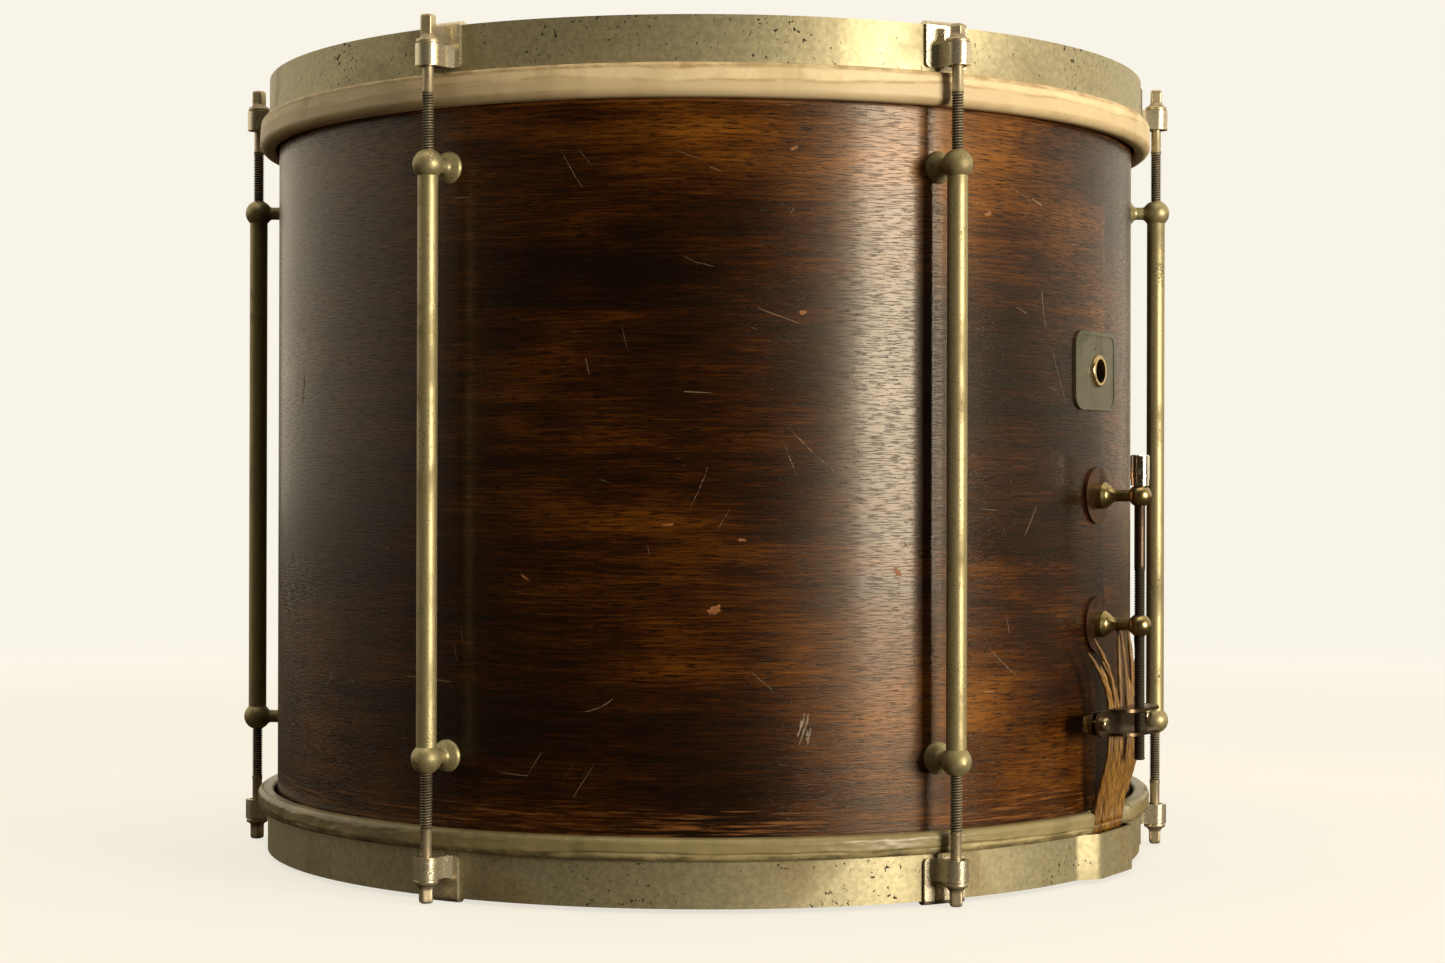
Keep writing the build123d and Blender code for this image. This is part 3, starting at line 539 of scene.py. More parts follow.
@dataclass(frozen=True)
class LacqueredVeneer(Finish):
    """Dark mahogany veneer with its grain running round the shell, under worn lacquer."""

    name: str = "lacquered_veneer"
    pore: Colour = (0.0030, 0.0014, 0.0007)
    dark: Colour = (0.0062, 0.0024, 0.0008)
    brown: Colour = (0.024, 0.0062, 0.0008)
    warm: Colour = (0.086, 0.027, 0.0022)
    bright: Colour = (0.225, 0.082, 0.0085)
    bruise: Colour = (0.44, 0.33, 0.22)
    wound: Colour = (0.27, 0.098, 0.018)
    raw: Colour = (0.24, 0.13, 0.062)
    raw_pore: Colour = (0.12, 0.06, 0.028)
    glaze: Colour = (1.0, 0.87, 0.72)
    tone_stops: tuple[float, ...] = (0.33, 0.46, 0.60, 0.78)
    waviness: float = 0.006
    streak_gain: float = 0.62
    figure_gain: float = 0.85
    cloud_gain: float = 0.85
    middle_tone: float = 0.445
    # painted light on the key window's side of the shell: how much it lifts the tone, and the arc in metres
    # from the seam over which it rises
    key_side_gain: float = 0.07
    key_side_arc: Span = (0.985, 1.075)
    pore_share: float = 0.88
    clouds: Pattern = Pattern(detail=3.0, rough=0.55, factors=(6.5, 8.0, 1.0))
    hair_sets: tuple[tuple[float, float, float], ...] = (     # lean, amount and seed of each
        (0.35, 0.42, 0.0), (-1.0, 0.36, 3.7), (1.35, 0.30, 8.2), (0.05, 0.30, 5.1))
    hair_show: float = 0.5
    bruise_share: float = 0.62
    rub: Pattern = Pattern(detail=4.0, rough=0.7, factors=(28.0, 800.0, 1.0))
    upper_rim: Span = (-0.020, -0.0145)      # wear starts and is full this far from the shell's edge
    lower_rim: Span = (0.030, 0.016)
    lower_share: float = 0.72
    rim_gain: float = 0.32
    rim_span: Span = (0.72, 0.90)
    wound_share: float = 0.62
    haze: Pattern = Pattern(detail=5.0, rough=0.6, factors=(14.0, 20.0, 1.0))
    polish: float = 0.20
    haze_rough: float = 0.18
    hair_rough: float = 0.22
    rim_rough: float = 0.35
    raw_rough: float = 0.4
    coat: float = 0.11
    coat_rough: float = 0.14
    gloss: float = 0.30
    lacquer_depth: float = 0.0012
    swell: Pattern = Pattern(detail=2.0, factors=(30.0, 9.0, 1.0))

    def wood(self, graph: Graph, wrapped: Socket, grain: bpy.types.NodeOutputs) -> Socket:
        """The veneer's colour before any wear, with painted light on the side that faces the key window.

        Args:
            graph: the material's graph.
            wrapped: the unrolled wall.
            grain: the grain's outputs.
        Returns:
            The colour's socket.
        """
        tone = graph.sway(grain["Streaks"], self.streak_gain)
        tone = graph.plus(tone, graph.sway(grain["Figure"], self.figure_gain))
        tone = graph.plus(tone, graph.sway(graph.noise(wrapped, self.clouds), self.cloud_gain))
        # painted light: the tone is raised from the front round to the seam, on the side that faces the key
        # window
        along, _, _ = graph.separate(wrapped)
        key_side_light = graph.remap(along, *self.key_side_arc)
        tone = graph.plus(tone, graph.plus(self.middle_tone, graph.times(key_side_light, self.key_side_gain)))
        tones = (self.dark, self.brown, self.warm, self.bright)
        wood = graph.ramp(tone, tuple(zip(self.tone_stops, tones)))
        return graph.mix(graph.times(grain["Pores"], self.pore_share), wood, self.pore)

    def hairs(self, graph: Graph, wrapped: Socket) -> Socket:
        """How strongly fine scratches show.

        Args:
            graph: the material's graph.
            wrapped: the unrolled wall.
        Returns:
            The mask's socket.
        """
        sets = [SCRATCHES.place(graph, Wrapped=wrapped, Lean=lean, Amount=amount, Seed=seed)[0]
                for lean, amount, seed in self.hair_sets]
        mask: Value = sets[0]
        for other in sets[1:]:
            mask = graph.larger(mask, other)
        return graph.times(mask, self.hair_show)

    def rim_wear(self, graph: Graph, wrapped: Socket, height: Socket) -> Socket:
        """Where the hoops have rubbed the lacquer off.

        Args:
            graph: the material's graph.
            wrapped: the unrolled wall.
            height: the point's height.
        Returns:
            The mask's socket.
        """
        upper = graph.remap(height, *(SHELL_HIGH.z + step for step in self.upper_rim))
        lower = graph.remap(height, *(SHELL_LOW.z + step for step in self.lower_rim))
        near_rim = graph.larger(upper, graph.times(lower, self.lower_share))
        rubbed = graph.plus(graph.noise(wrapped, self.rub), graph.times(near_rim, self.rim_gain))
        return graph.remap(rubbed, *self.rim_span)

    def paint(self, graph: Graph, surface: bpy.types.Node) -> None:
        """Join grain, wear and lacquer to the surface.

        Args:
            graph: the material's graph.
            surface: the surface shader.
        """
        wall = WRAP.place(graph, Point=graph.place(), Seam=SEAM_AZIMUTH)
        wrapped = wall["Wrapped"]
        grain = GRAIN.place(graph, Wrapped=wrapped, Waviness=self.waviness)
        hairs = self.hairs(graph, wrapped)
        rim_wear = self.rim_wear(graph, wrapped, wall["Height"])
        wood = self.wood(graph, wrapped, grain)
        wood = graph.mix(graph.times(hairs, self.bruise_share), wood, self.bruise)
        wood = graph.mix(graph.times(rim_wear, self.wound_share), wood, self.wound)
        outside = graph.math("GREATER_THAN", wall["Radius"], SHELL_R - self.lacquer_depth)
        raw = graph.mix(grain["Pores"], self.raw, self.raw_pore)
        graph.feed(surface.inputs["Base Color"], graph.mix(outside, raw, wood))

        rough = graph.plus(self.polish, graph.times(graph.noise(wrapped, self.haze), self.haze_rough))
        rough = graph.plus(rough, graph.times(hairs, self.hair_rough))
        rough = graph.plus(rough, graph.times(rim_wear, self.rim_rough))
        inside = graph.times(graph.minus(1.0, outside), self.raw_rough)
        graph.feed(surface.inputs["Roughness"], graph.plus(rough, inside, clamp=True))
        dull = graph.larger(grain["Pores"], hairs)
        coat = graph.times(graph.minus(1.0, dull, clamp=True), self.coat)
        graph.feed(surface.inputs["Coat Weight"], graph.times(coat, outside))
        surface.inputs["Coat Roughness"].default_value = self.coat_rough
        surface.inputs["Specular Tint"].default_value = (*self.glaze, 1.0)
        surface.inputs["Specular IOR Level"].default_value = self.gloss
        relief = graph.bump(graph.noise(wrapped, self.swell), 0.25, 0.40 * MM)
        relief = graph.bump(grain["Streaks"], 0.12, 0.20 * MM, relief)
        relief = graph.bump(graph.minus(1.0, dull), 0.45, 0.06 * MM, relief)
        graph.feed(surface.inputs["Normal"], relief)


@dataclass(frozen=True)
class ScrapedLacquer(Finish):
    """Pale crushed lacquer in a scratch and bare orange wood in a chip, fading out at a ragged edge."""

    name: str = "scraped_lacquer"
    crushed: Colour = (0.33, 0.255, 0.175)
    bared: Colour = (0.235, 0.082, 0.016)
    crumbs: Pattern = Pattern(1500.0, 4.0, 0.7)
    crumb_span: Span = (0.3, 0.7)
    shades: Span = (0.55, 1.15)
    raggedness: float = 1.5
    edge_span: Span = (0.30, 0.65)
    rough_span: Span = (0.5, 0.75)

    def paint(self, graph: Graph, surface: bpy.types.Node) -> None:
        """Join the two tones and the ragged edge to the surface.

        Args:
            graph: the material's graph.
            surface: the surface shader.
        """
        crumbs = graph.noise(graph.place(), self.crumbs)
        colour = graph.mix(graph.attribute("deep"), self.crushed, self.bared)
        grey = graph.remap(crumbs, *self.crumb_span, *self.shades)
        graph.feed(surface.inputs["Base Color"], graph.shaded(colour, grey))
        left = graph.plus(graph.attribute("cut"), graph.sway(crumbs, self.raggedness))
        shown = graph.times(graph.remap(left, *self.edge_span), graph.attribute("depth"))
        graph.feed(surface.inputs["Alpha"], shown)
        graph.feed(surface.inputs["Roughness"], graph.remap(crumbs, *self.crumb_span, *self.rough_span))
        graph.feed(surface.inputs["Normal"], graph.bump(crumbs, 0.6, 0.08 * MM))


@dataclass(frozen=True)
class PlainWood(Finish):
    """Bare bent wood of the hoops and rings inside."""

    name: str
    light: Colour
    dark: Colour
    waviness: float = 0.002
    tone_span: Span = (0.36, 0.62)
    pore_share: float = 0.5
    roughness: float = 0.52
    streak_rough: float = 0.2

    def paint(self, graph: Graph, surface: bpy.types.Node) -> None:
        """Join grain to the surface.

        Args:
            graph: the material's graph.
            surface: the surface shader.
        """
        wall = WRAP.place(graph, Point=graph.place(), Seam=SEAM_AZIMUTH)
        grain = GRAIN.place(graph, Wrapped=wall["Wrapped"], Waviness=self.waviness)
        tone = graph.plus(graph.times(grain["Figure"], 0.5), graph.times(grain["Streaks"], 0.5))
        colour = graph.ramp(tone, tuple(zip(self.tone_span, (self.dark, self.light))))
        colour = graph.mix(graph.times(grain["Pores"], self.pore_share), colour, self.dark)
        graph.feed(surface.inputs["Base Color"], colour)
        rough = graph.plus(self.roughness, graph.times(grain["Streaks"], self.streak_rough))
        graph.feed(surface.inputs["Roughness"], rough)
        graph.feed(surface.inputs["Normal"], graph.bump(grain["Streaks"], 0.3, 0.2 * MM))


@dataclass(frozen=True)
class Calfskin(Finish):
    """Scraped calfskin, smooth and cream when clean, veined and greenish when old."""

    name: str
    pale: Colour
    deep: Colour
    stain_and_shade: Colour
    shade: Colour
    vein: float
    roughness: float
    mottle_span: Span = (0.38, 0.66)
    streaks: Pattern = Pattern(detail=4.0, rough=0.6, factors=(40.0, 40.0, 9.0))
    streak_span: Span = (0.56, 0.74)
    streak_share: float = 0.55
    # share of painted shade on the lap below its crease
    lower_lap_shade_share: float = 0.62
    # noise that breaks the lap's painted shade into patches, its span and its weakest share
    lap_shade_patches: Pattern = Pattern(detail=4.0, rough=0.65, factors=(90.0, 90.0, 260.0))
    lap_shade_patch_span: Span = (0.35, 0.62)
    least_lap_shade: float = 0.35
    mottle_rough: float = 0.16
    gloss: float = 0.4

    def paint(self, graph: Graph, surface: bpy.types.Node) -> None:
        """Join mottling, veins, fibre and the lap's painted shade to the surface.

        Args:
            graph: the material's graph.
            surface: the surface shader.
        """
        point = graph.place()
        figure = SKIN.place(graph, Point=point)
        colour = graph.mix(graph.remap(figure["Mottle"], *self.mottle_span), self.pale, self.deep)
        streak = graph.remap(graph.noise(point, self.streaks), *self.streak_span)
        colour = graph.mix(graph.times(streak, self.streak_share), colour, self.stain_and_shade)
        colour = graph.mix(graph.times(figure["Veins"], self.vein), colour, self.stain_and_shade)
        # painted shade: the lap below its crease, which curves down away from the light, is darkened
        colour = graph.mix(graph.times(graph.attribute("fold"), self.lower_lap_shade_share), colour, self.shade)
        # painted shade in the lap's crease, just under the counter hoop and where the lap turns under, broken
        # into patches by a noise; the stain colour serves both the real stains and this shade
        lap_shade_patch = graph.remap(graph.noise(point, self.lap_shade_patches), *self.lap_shade_patch_span, self.least_lap_shade, 1.0)
        colour = graph.mix(graph.times(graph.attribute("lap_shade"), lap_shade_patch), colour, self.stain_and_shade)
        graph.feed(surface.inputs["Base Color"], colour)
        rough = graph.plus(self.roughness, graph.times(figure["Mottle"], self.mottle_rough))
        graph.feed(surface.inputs["Roughness"], rough)
        surface.inputs["Specular IOR Level"].default_value = self.gloss
        relief = graph.bump(figure["Fibre"], 0.18, 0.1 * MM)
        relief = graph.bump(figure["Mottle"], 0.3, 0.6 * MM, relief)
        relief = graph.bump(figure["Veins"], 0.25 * self.vein, 0.2 * MM, relief)
        graph.feed(surface.inputs["Normal"], relief)


@dataclass(frozen=True)
class AgedMetal(Finish):
    """Plated or bare metal with clouds of tarnish, speckle, pits, and dirt with painted shade in its grooves.
    """

    name: str
    clean: Colour
    tarnished: Colour
    dirt: Colour = (0.022, 0.017, 0.011)
    polish: float = 0.22
    dull: float = 0.42
    scale: float = 42.0
    amount: float = 0.5
    pitting: float = 0.8
    pit_scale: float = 900.0
    relief: float = 0.25
    film: float = 0.0
    seed: float = 0.0
    speckle_span: Span = (0.32, 0.70)
    shades: Span = (0.82, 1.14)
    grime_cover: float = 0.55
    grime_rough: float = 0.3
    blotch_share: float = 0.65
    speckle_share: float = 0.35

    def paint(self, graph: Graph, surface: bpy.types.Node) -> None:
        """Join tarnish, pits and grime to the surface.

        Args:
            graph: the material's graph.
            surface: the surface shader.
        """
        wear = TARNISH.place(
            graph, Point=graph.place(), Scale=self.scale, Amount=self.amount, Pitting=self.pitting,
            Pit_Scale=self.pit_scale, Seed=self.seed)
        blotch, speckle = wear["Blotch"], wear["Speckle"]
        colour = graph.mix(blotch, self.clean, self.tarnished)
        colour = graph.shaded(colour, graph.remap(speckle, *self.speckle_span, *self.shades))
        # dark pits and grime are the metal's own; the darkening in thread troughs and where parts step is
        # painted shade
        grime_and_shade = graph.larger(wear["Pits"], graph.attribute("groove"), clamp=True)
        graph.feed(surface.inputs["Base Color"], graph.mix(grime_and_shade, colour, self.dirt))
        cover = graph.times(graph.plus(0.5, graph.times(blotch, 0.5)), self.film)
        cover = graph.larger(cover, graph.times(grime_and_shade, self.grime_cover))
        graph.feed(surface.inputs["Metallic"], graph.minus(1.0, cover))
        spread = graph.plus(graph.times(blotch, self.blotch_share), graph.times(speckle, self.speckle_share))
        rough = graph.remap(spread, 0.0, 1.0, self.polish, self.dull)
        rough = graph.plus(rough, graph.times(grime_and_shade, self.grime_rough), clamp=True)
        graph.feed(surface.inputs["Roughness"], rough)
        relief = graph.bump(speckle, self.relief, 0.03 * MM)
        relief = graph.bump(graph.minus(1.0, wear["Pits"]), 0.5, 0.1 * MM, relief)
        graph.feed(surface.inputs["Normal"], relief)


@dataclass(frozen=True)
class TwistedGut(Finish):
    """Dry twisted gut: golden brown, with painted shade in the grooves of the twist and fine fibres along
    each strand.
    """

    name: str = "twisted_gut"
    light: Colour = (0.37, 0.195, 0.026)
    brown: Colour = (0.165, 0.076, 0.009)
    dark: Colour = (0.060, 0.025, 0.008)
    tone_stops: tuple[float, ...] = (0.34, 0.47, 0.64)
    fibres: Pattern = Pattern(detail=5.0, rough=0.65, factors=(7.0, 55.0, 3.0))
    patches: Pattern = Pattern(detail=3.0, rough=0.6, factors=(0.4, 60.0, 9.0))
    fibre_share: float = 0.6
    patch_share: float = 0.4
    groove_share: float = 0.8
    fibre_span: Span = (0.3, 0.7)
    rough_span: Span = (0.38, 0.62)
    glow: float = 0.08
    glow_depth: Colour = (0.0012, 0.0006, 0.0003)

    def paint(self, graph: Graph, surface: bpy.types.Node) -> None:
        """Join fibre and twist to the surface.

        Args:
            graph: the material's graph.
            surface: the surface shader.
        """
        lay = graph.combine(graph.attribute("around"), graph.attribute("along"), graph.attribute("strand"))
        fibre = graph.noise(lay, self.fibres)
        patch = graph.noise(lay, self.patches)
        tone = graph.plus(graph.times(fibre, self.fibre_share), graph.times(patch, self.patch_share))
        colour = graph.ramp(tone, tuple(zip(self.tone_stops, (self.dark, self.brown, self.light))))
        # painted shade in the grooves of the twist, where the strand is thinnest
        colour = graph.mix(graph.times(graph.attribute("groove"), self.groove_share), colour, self.dark)
        graph.feed(surface.inputs["Base Color"], colour)
        graph.feed(surface.inputs["Roughness"], graph.remap(fibre, *self.fibre_span, *self.rough_span))
        surface.inputs["Subsurface Weight"].default_value = self.glow
        surface.inputs["Subsurface Radius"].default_value = self.glow_depth
        graph.feed(surface.inputs["Normal"], graph.bump(fibre, 0.5, 0.2 * MM))


HOOP_NICKEL = AgedMetal(
    "hoop_nickel", (0.37, 0.335, 0.205), (0.160, 0.112, 0.042), polish=0.44, dull=0.66, scale=15.0,
    amount=0.60, pitting=0.95, pit_scale=560.0, film=0.75)
CLAW_NICKEL = AgedMetal(
    "claw_nickel", (0.66, 0.60, 0.45), (0.31, 0.255, 0.150), polish=0.26, dull=0.46, scale=60.0, amount=0.40,
    film=0.35, seed=2.0)
LUG_NICKEL = AgedMetal(
    "lug_nickel", (0.35, 0.305, 0.165), (0.180, 0.145, 0.060), polish=0.44, dull=0.64, scale=40.0,
    amount=0.56, pit_scale=1500.0, film=0.7, seed=5.0)
ROD_STEEL = AgedMetal(
    "rod_steel", (0.54, 0.46, 0.31), (0.200, 0.150, 0.080), polish=0.34, dull=0.58, scale=90.0, amount=0.52,
    film=0.5, seed=7.0)
SCREW_STEEL = AgedMetal("screw_steel", (0.42, 0.39, 0.33), (0.13, 0.10, 0.07), scale=120.0, seed=9.0)
BADGE_PLATE = AgedMetal(
    "badge_plate", (0.150, 0.150, 0.105), (0.055, 0.055, 0.038), polish=0.46, dull=0.66, scale=70.0,
    amount=0.6, film=0.7, seed=11.0)
GROMMET_BRASS = AgedMetal(
    "grommet_brass", (0.62, 0.475, 0.235), (0.20, 0.135, 0.055), polish=0.2, dull=0.4, scale=110.0,
    amount=0.4, seed=13.0)
STRAINER_BRASS = AgedMetal(
    "strainer_brass", (0.37, 0.295, 0.135), (0.140, 0.102, 0.038), polish=0.28, dull=0.48, scale=80.0,
    seed=14.0)
ROSETTE_COPPER = AgedMetal(
    "rosette_copper", (0.135, 0.070, 0.040), (0.045, 0.023, 0.014), polish=0.38, dull=0.62, scale=90.0,
    amount=0.6, seed=15.0)
STRAINER_STEEL = AgedMetal(
    "strainer_steel", (0.075, 0.050, 0.034), (0.030, 0.020, 0.014), polish=0.34, dull=0.55, scale=120.0,
    seed=16.0)
CAP_NICKEL = AgedMetal(
    "cap_nickel", (0.78, 0.73, 0.62), (0.33, 0.27, 0.17), polish=0.10, dull=0.32, scale=150.0, amount=0.34,
    seed=17.0)
CLAMP_BRONZE = AgedMetal(
    "clamp_bronze", (0.150, 0.105, 0.062), (0.045, 0.029, 0.018), polish=0.26, dull=0.52, scale=130.0,
    amount=0.55, seed=18.0)
CLAMP_SCREW_BRASS = AgedMetal(
    "clamp_screw_brass", (0.50, 0.41, 0.25), (0.14, 0.10, 0.055), polish=0.22, dull=0.44, scale=150.0,
    amount=0.4, seed=19.0)
VENEER = LacqueredVeneer()
RING_WOOD = PlainWood("ring_wood", (0.42, 0.27, 0.14), (0.20, 0.11, 0.052))
FLESH_WOOD = PlainWood("flesh_wood", (0.36, 0.24, 0.13), (0.17, 0.10, 0.05))
CLEAN_SKIN = Calfskin(
    "clean_calfskin", pale=(0.76, 0.63, 0.39), deep=(0.64, 0.51, 0.30), stain_and_shade=(0.31, 0.205, 0.085),
    shade=(0.49, 0.39, 0.235), vein=0.12, roughness=0.42)
OLD_SKIN = Calfskin(
    "old_calfskin", pale=(0.40, 0.33, 0.165), deep=(0.20, 0.17, 0.075), stain_and_shade=(0.062, 0.048, 0.020),
    shade=(0.165, 0.138, 0.062), vein=0.42, roughness=0.28)
GUT = TwistedGut()
SCRAPE = ScrapedLacquer()


# ---- Mesh helpers ------------------------------------------------------------------------------------
def outward(azimuth: float) -> Vector:
    """The direction away from the drum's axis at an azimuth."""
    return Vector((math.sin(azimuth), -math.cos(azimuth), 0.0))


def sideways(azimuth: float) -> Vector:
    """The direction round the drum, towards a greater azimuth."""
    return Vector((math.cos(azimuth), math.sin(azimuth), 0.0))


def lug_azimuth(number: int) -> float:
    """Azimuth of lug 1 to 6."""
    return FIRST_LUG_AZIMUTH + (number - 1) * math.pi / 3


def add_piece(
        name: str, points: np.ndarray, faces: list, values: dict[str, np.ndarray] | None = None
) -> bpy.types.Object:
    """Make a smooth mesh piece.

    Args:
        name: the piece's name.
        points: its points, n by 3, in metres.
        faces: lists of point numbers.
        values: numbers kept on the points, by attribute name.
    Returns:
        The new object.
    """
    mesh = bpy.data.meshes.new(name)
    mesh.from_pydata([tuple(p) for p in points], [], faces)
    for label, numbers in (values or {}).items():
        layer = mesh.attributes.new(label, "FLOAT", "POINT")
        layer.data.foreach_set("value", np.asarray(numbers, np.float32))
    mesh.shade_smooth()
    made = bpy.data.objects.new(name, mesh)
    bpy.context.scene.collection.objects.link(made)
    return made


def grid_faces(rows: int, columns: int, close_rows: bool = False, flip: bool = False) -> list:
    """Quads of a grid whose columns close on themselves.

    Args:
        rows: how many rings of points.
        columns: points in each ring.
        close_rows: join the last ring to the first.
        flip: turn the faces over.
    Returns:
        The quads.
    """
    faces = []
    for i in range(rows if close_rows else rows - 1):
        j = (i + 1) % rows
        for k in range(columns):
            m = (k + 1) % columns
            quad = [i * columns + k, i * columns + m, j * columns + m, j * columns + k]
            faces.append(quad[::-1] if flip else quad)
    return faces


def smooth_step(value: np.ndarray | float, low: float, high: float) -> np.ndarray | float:
    """Rise smoothly from 0 at low to 1 at high."""
    t = np.clip((value - low) / (high - low), 0.0, 1.0)
    return t * t * (3 - 2 * t)


def ripple(azimuths: np.ndarray, waves: Sequence[tuple[int, float, float]]) -> np.ndarray:
    """A sum of whole waves round the drum.

    Args:
        azimuths: where it is read.
        waves: number of waves, height and phase of each.
    Returns:
        The height at each azimuth.
    """
    return sum(size * np.sin(count * azimuths + phase) for count, size, phase in waves)


# ---- Shell -------------------------------------------------------------------------------------------
@dataclass
class Shell:
    """The veneered cylinder with its glued rings and the screws inside it."""

    wall: str = "shell"
    rings: tuple[str, ...] = ("reinforcement_ring_top", "reinforcement_ring_bottom")
    screws: tuple[str, ...] = ("mounting_screws", "mounting_washers")

    def build(self) -> int:
        """Dress the frame's own pieces.

        Returns:
            How many pieces were dressed.
        """
        VENEER.dress_nodes(self.wall)
        RING_WOOD.dress_nodes(*self.rings)
        SCREW_STEEL.dress_nodes(*self.screws)
        return 1 + len(self.rings) + len(self.screws)


@dataclass(frozen=True)
class Scar:
    """One scratch, scuff or chip: its middle in degrees and millimetres, its lean in degrees and its size."""

    azimuth: float
    height: float
    lean: float
    half_length: float
    half_width: float
    bow: float = 0.0
    deep: bool = False


SHELL_SCARS = (
    Scar(11.7, 69.4, 72.0, 7.0, 1.1, 0.25),
    Scar(12.3, 66.0, 80.0, 4.0, 0.7, -0.3),
    Scar(1.5, 114.0, 20.0, 2.6, 1.6, 0.0, True),
    Scar(-11.7, 76.6, 24.0, 6.5, 0.30, 0.5),
    Scar(-15.1, 280.7, -58.0, 8.5, 0.22, 0.15),
    Scar(-13.6, 286.0, -52.0, 5.0, 0.16),
    Scar(12.6, 174.5, -42.0, 13.0, 0.24, 0.1),
    Scar(10.2, 170.8, -68.0, 6.5, 0.26),
    Scar(45.7, 232.4, -80.0, 8.0, 0.30, 0.2),
    Scar(49.0, 205.3, -64.0, 13.5, 0.22, 0.15),
    Scar(39.1, 90.1, -36.0, 11.0, 0.24, 0.1),
    Scar(-0.4, 245.4, -18.0, 6.5, 0.22, 0.3),
    Scar(7.1, 86.5, -40.0, 6.0, 0.22),
    Scar(-0.2, 160.0, 66.0, 9.0, 0.20, 0.2),
    Scar(2.5, 148.0, 60.0, 4.5, 0.20),
    Scar(41.6, 277.0, -24.0, 7.0, 0.24, -0.2),
    Scar(32.6, 202.3, 70.0, 5.0, 0.26),
    Scar(-61.3, 201.0, 78.0, 9.0, 0.9, 0.2),
    Scar(-3.8, 146.2, 5.0, 2.4, 0.5, 0.0, True),
    Scar(-20.8, 125.7, -35.0, 2.2, 0.5, 0.0, True),
    Scar(23.3, 127.9, -50.0, 1.9, 0.9, 0.0, True),
    Scar(10.5, 289.1, 30.0, 1.8, 0.8, 0.0, True),
    Scar(11.6, 227.0, 10.0, 1.6, 0.9, 0.0, True),
    Scar(36.0, 268.0, 15.0, 2.0, 0.9, 0.0, True),
    Scar(4.6, 140.5, 0.0, 1.6, 0.6, 0.0, True),
    Scar(118.0, 150.0, 35.0, 12.0, 0.26, 0.2),
    Scar(163.0, 214.0, -30.0, 15.0, 0.24, 0.1),
    Scar(201.0, 110.0, 62.0, 9.0, 0.30),
    Scar(-112.0, 176.0, -48.0, 12.0, 0.26, 0.2),
    Scar(-135.0, 92.0, 12.0, 2.4, 1.1, 0.0, True),
)


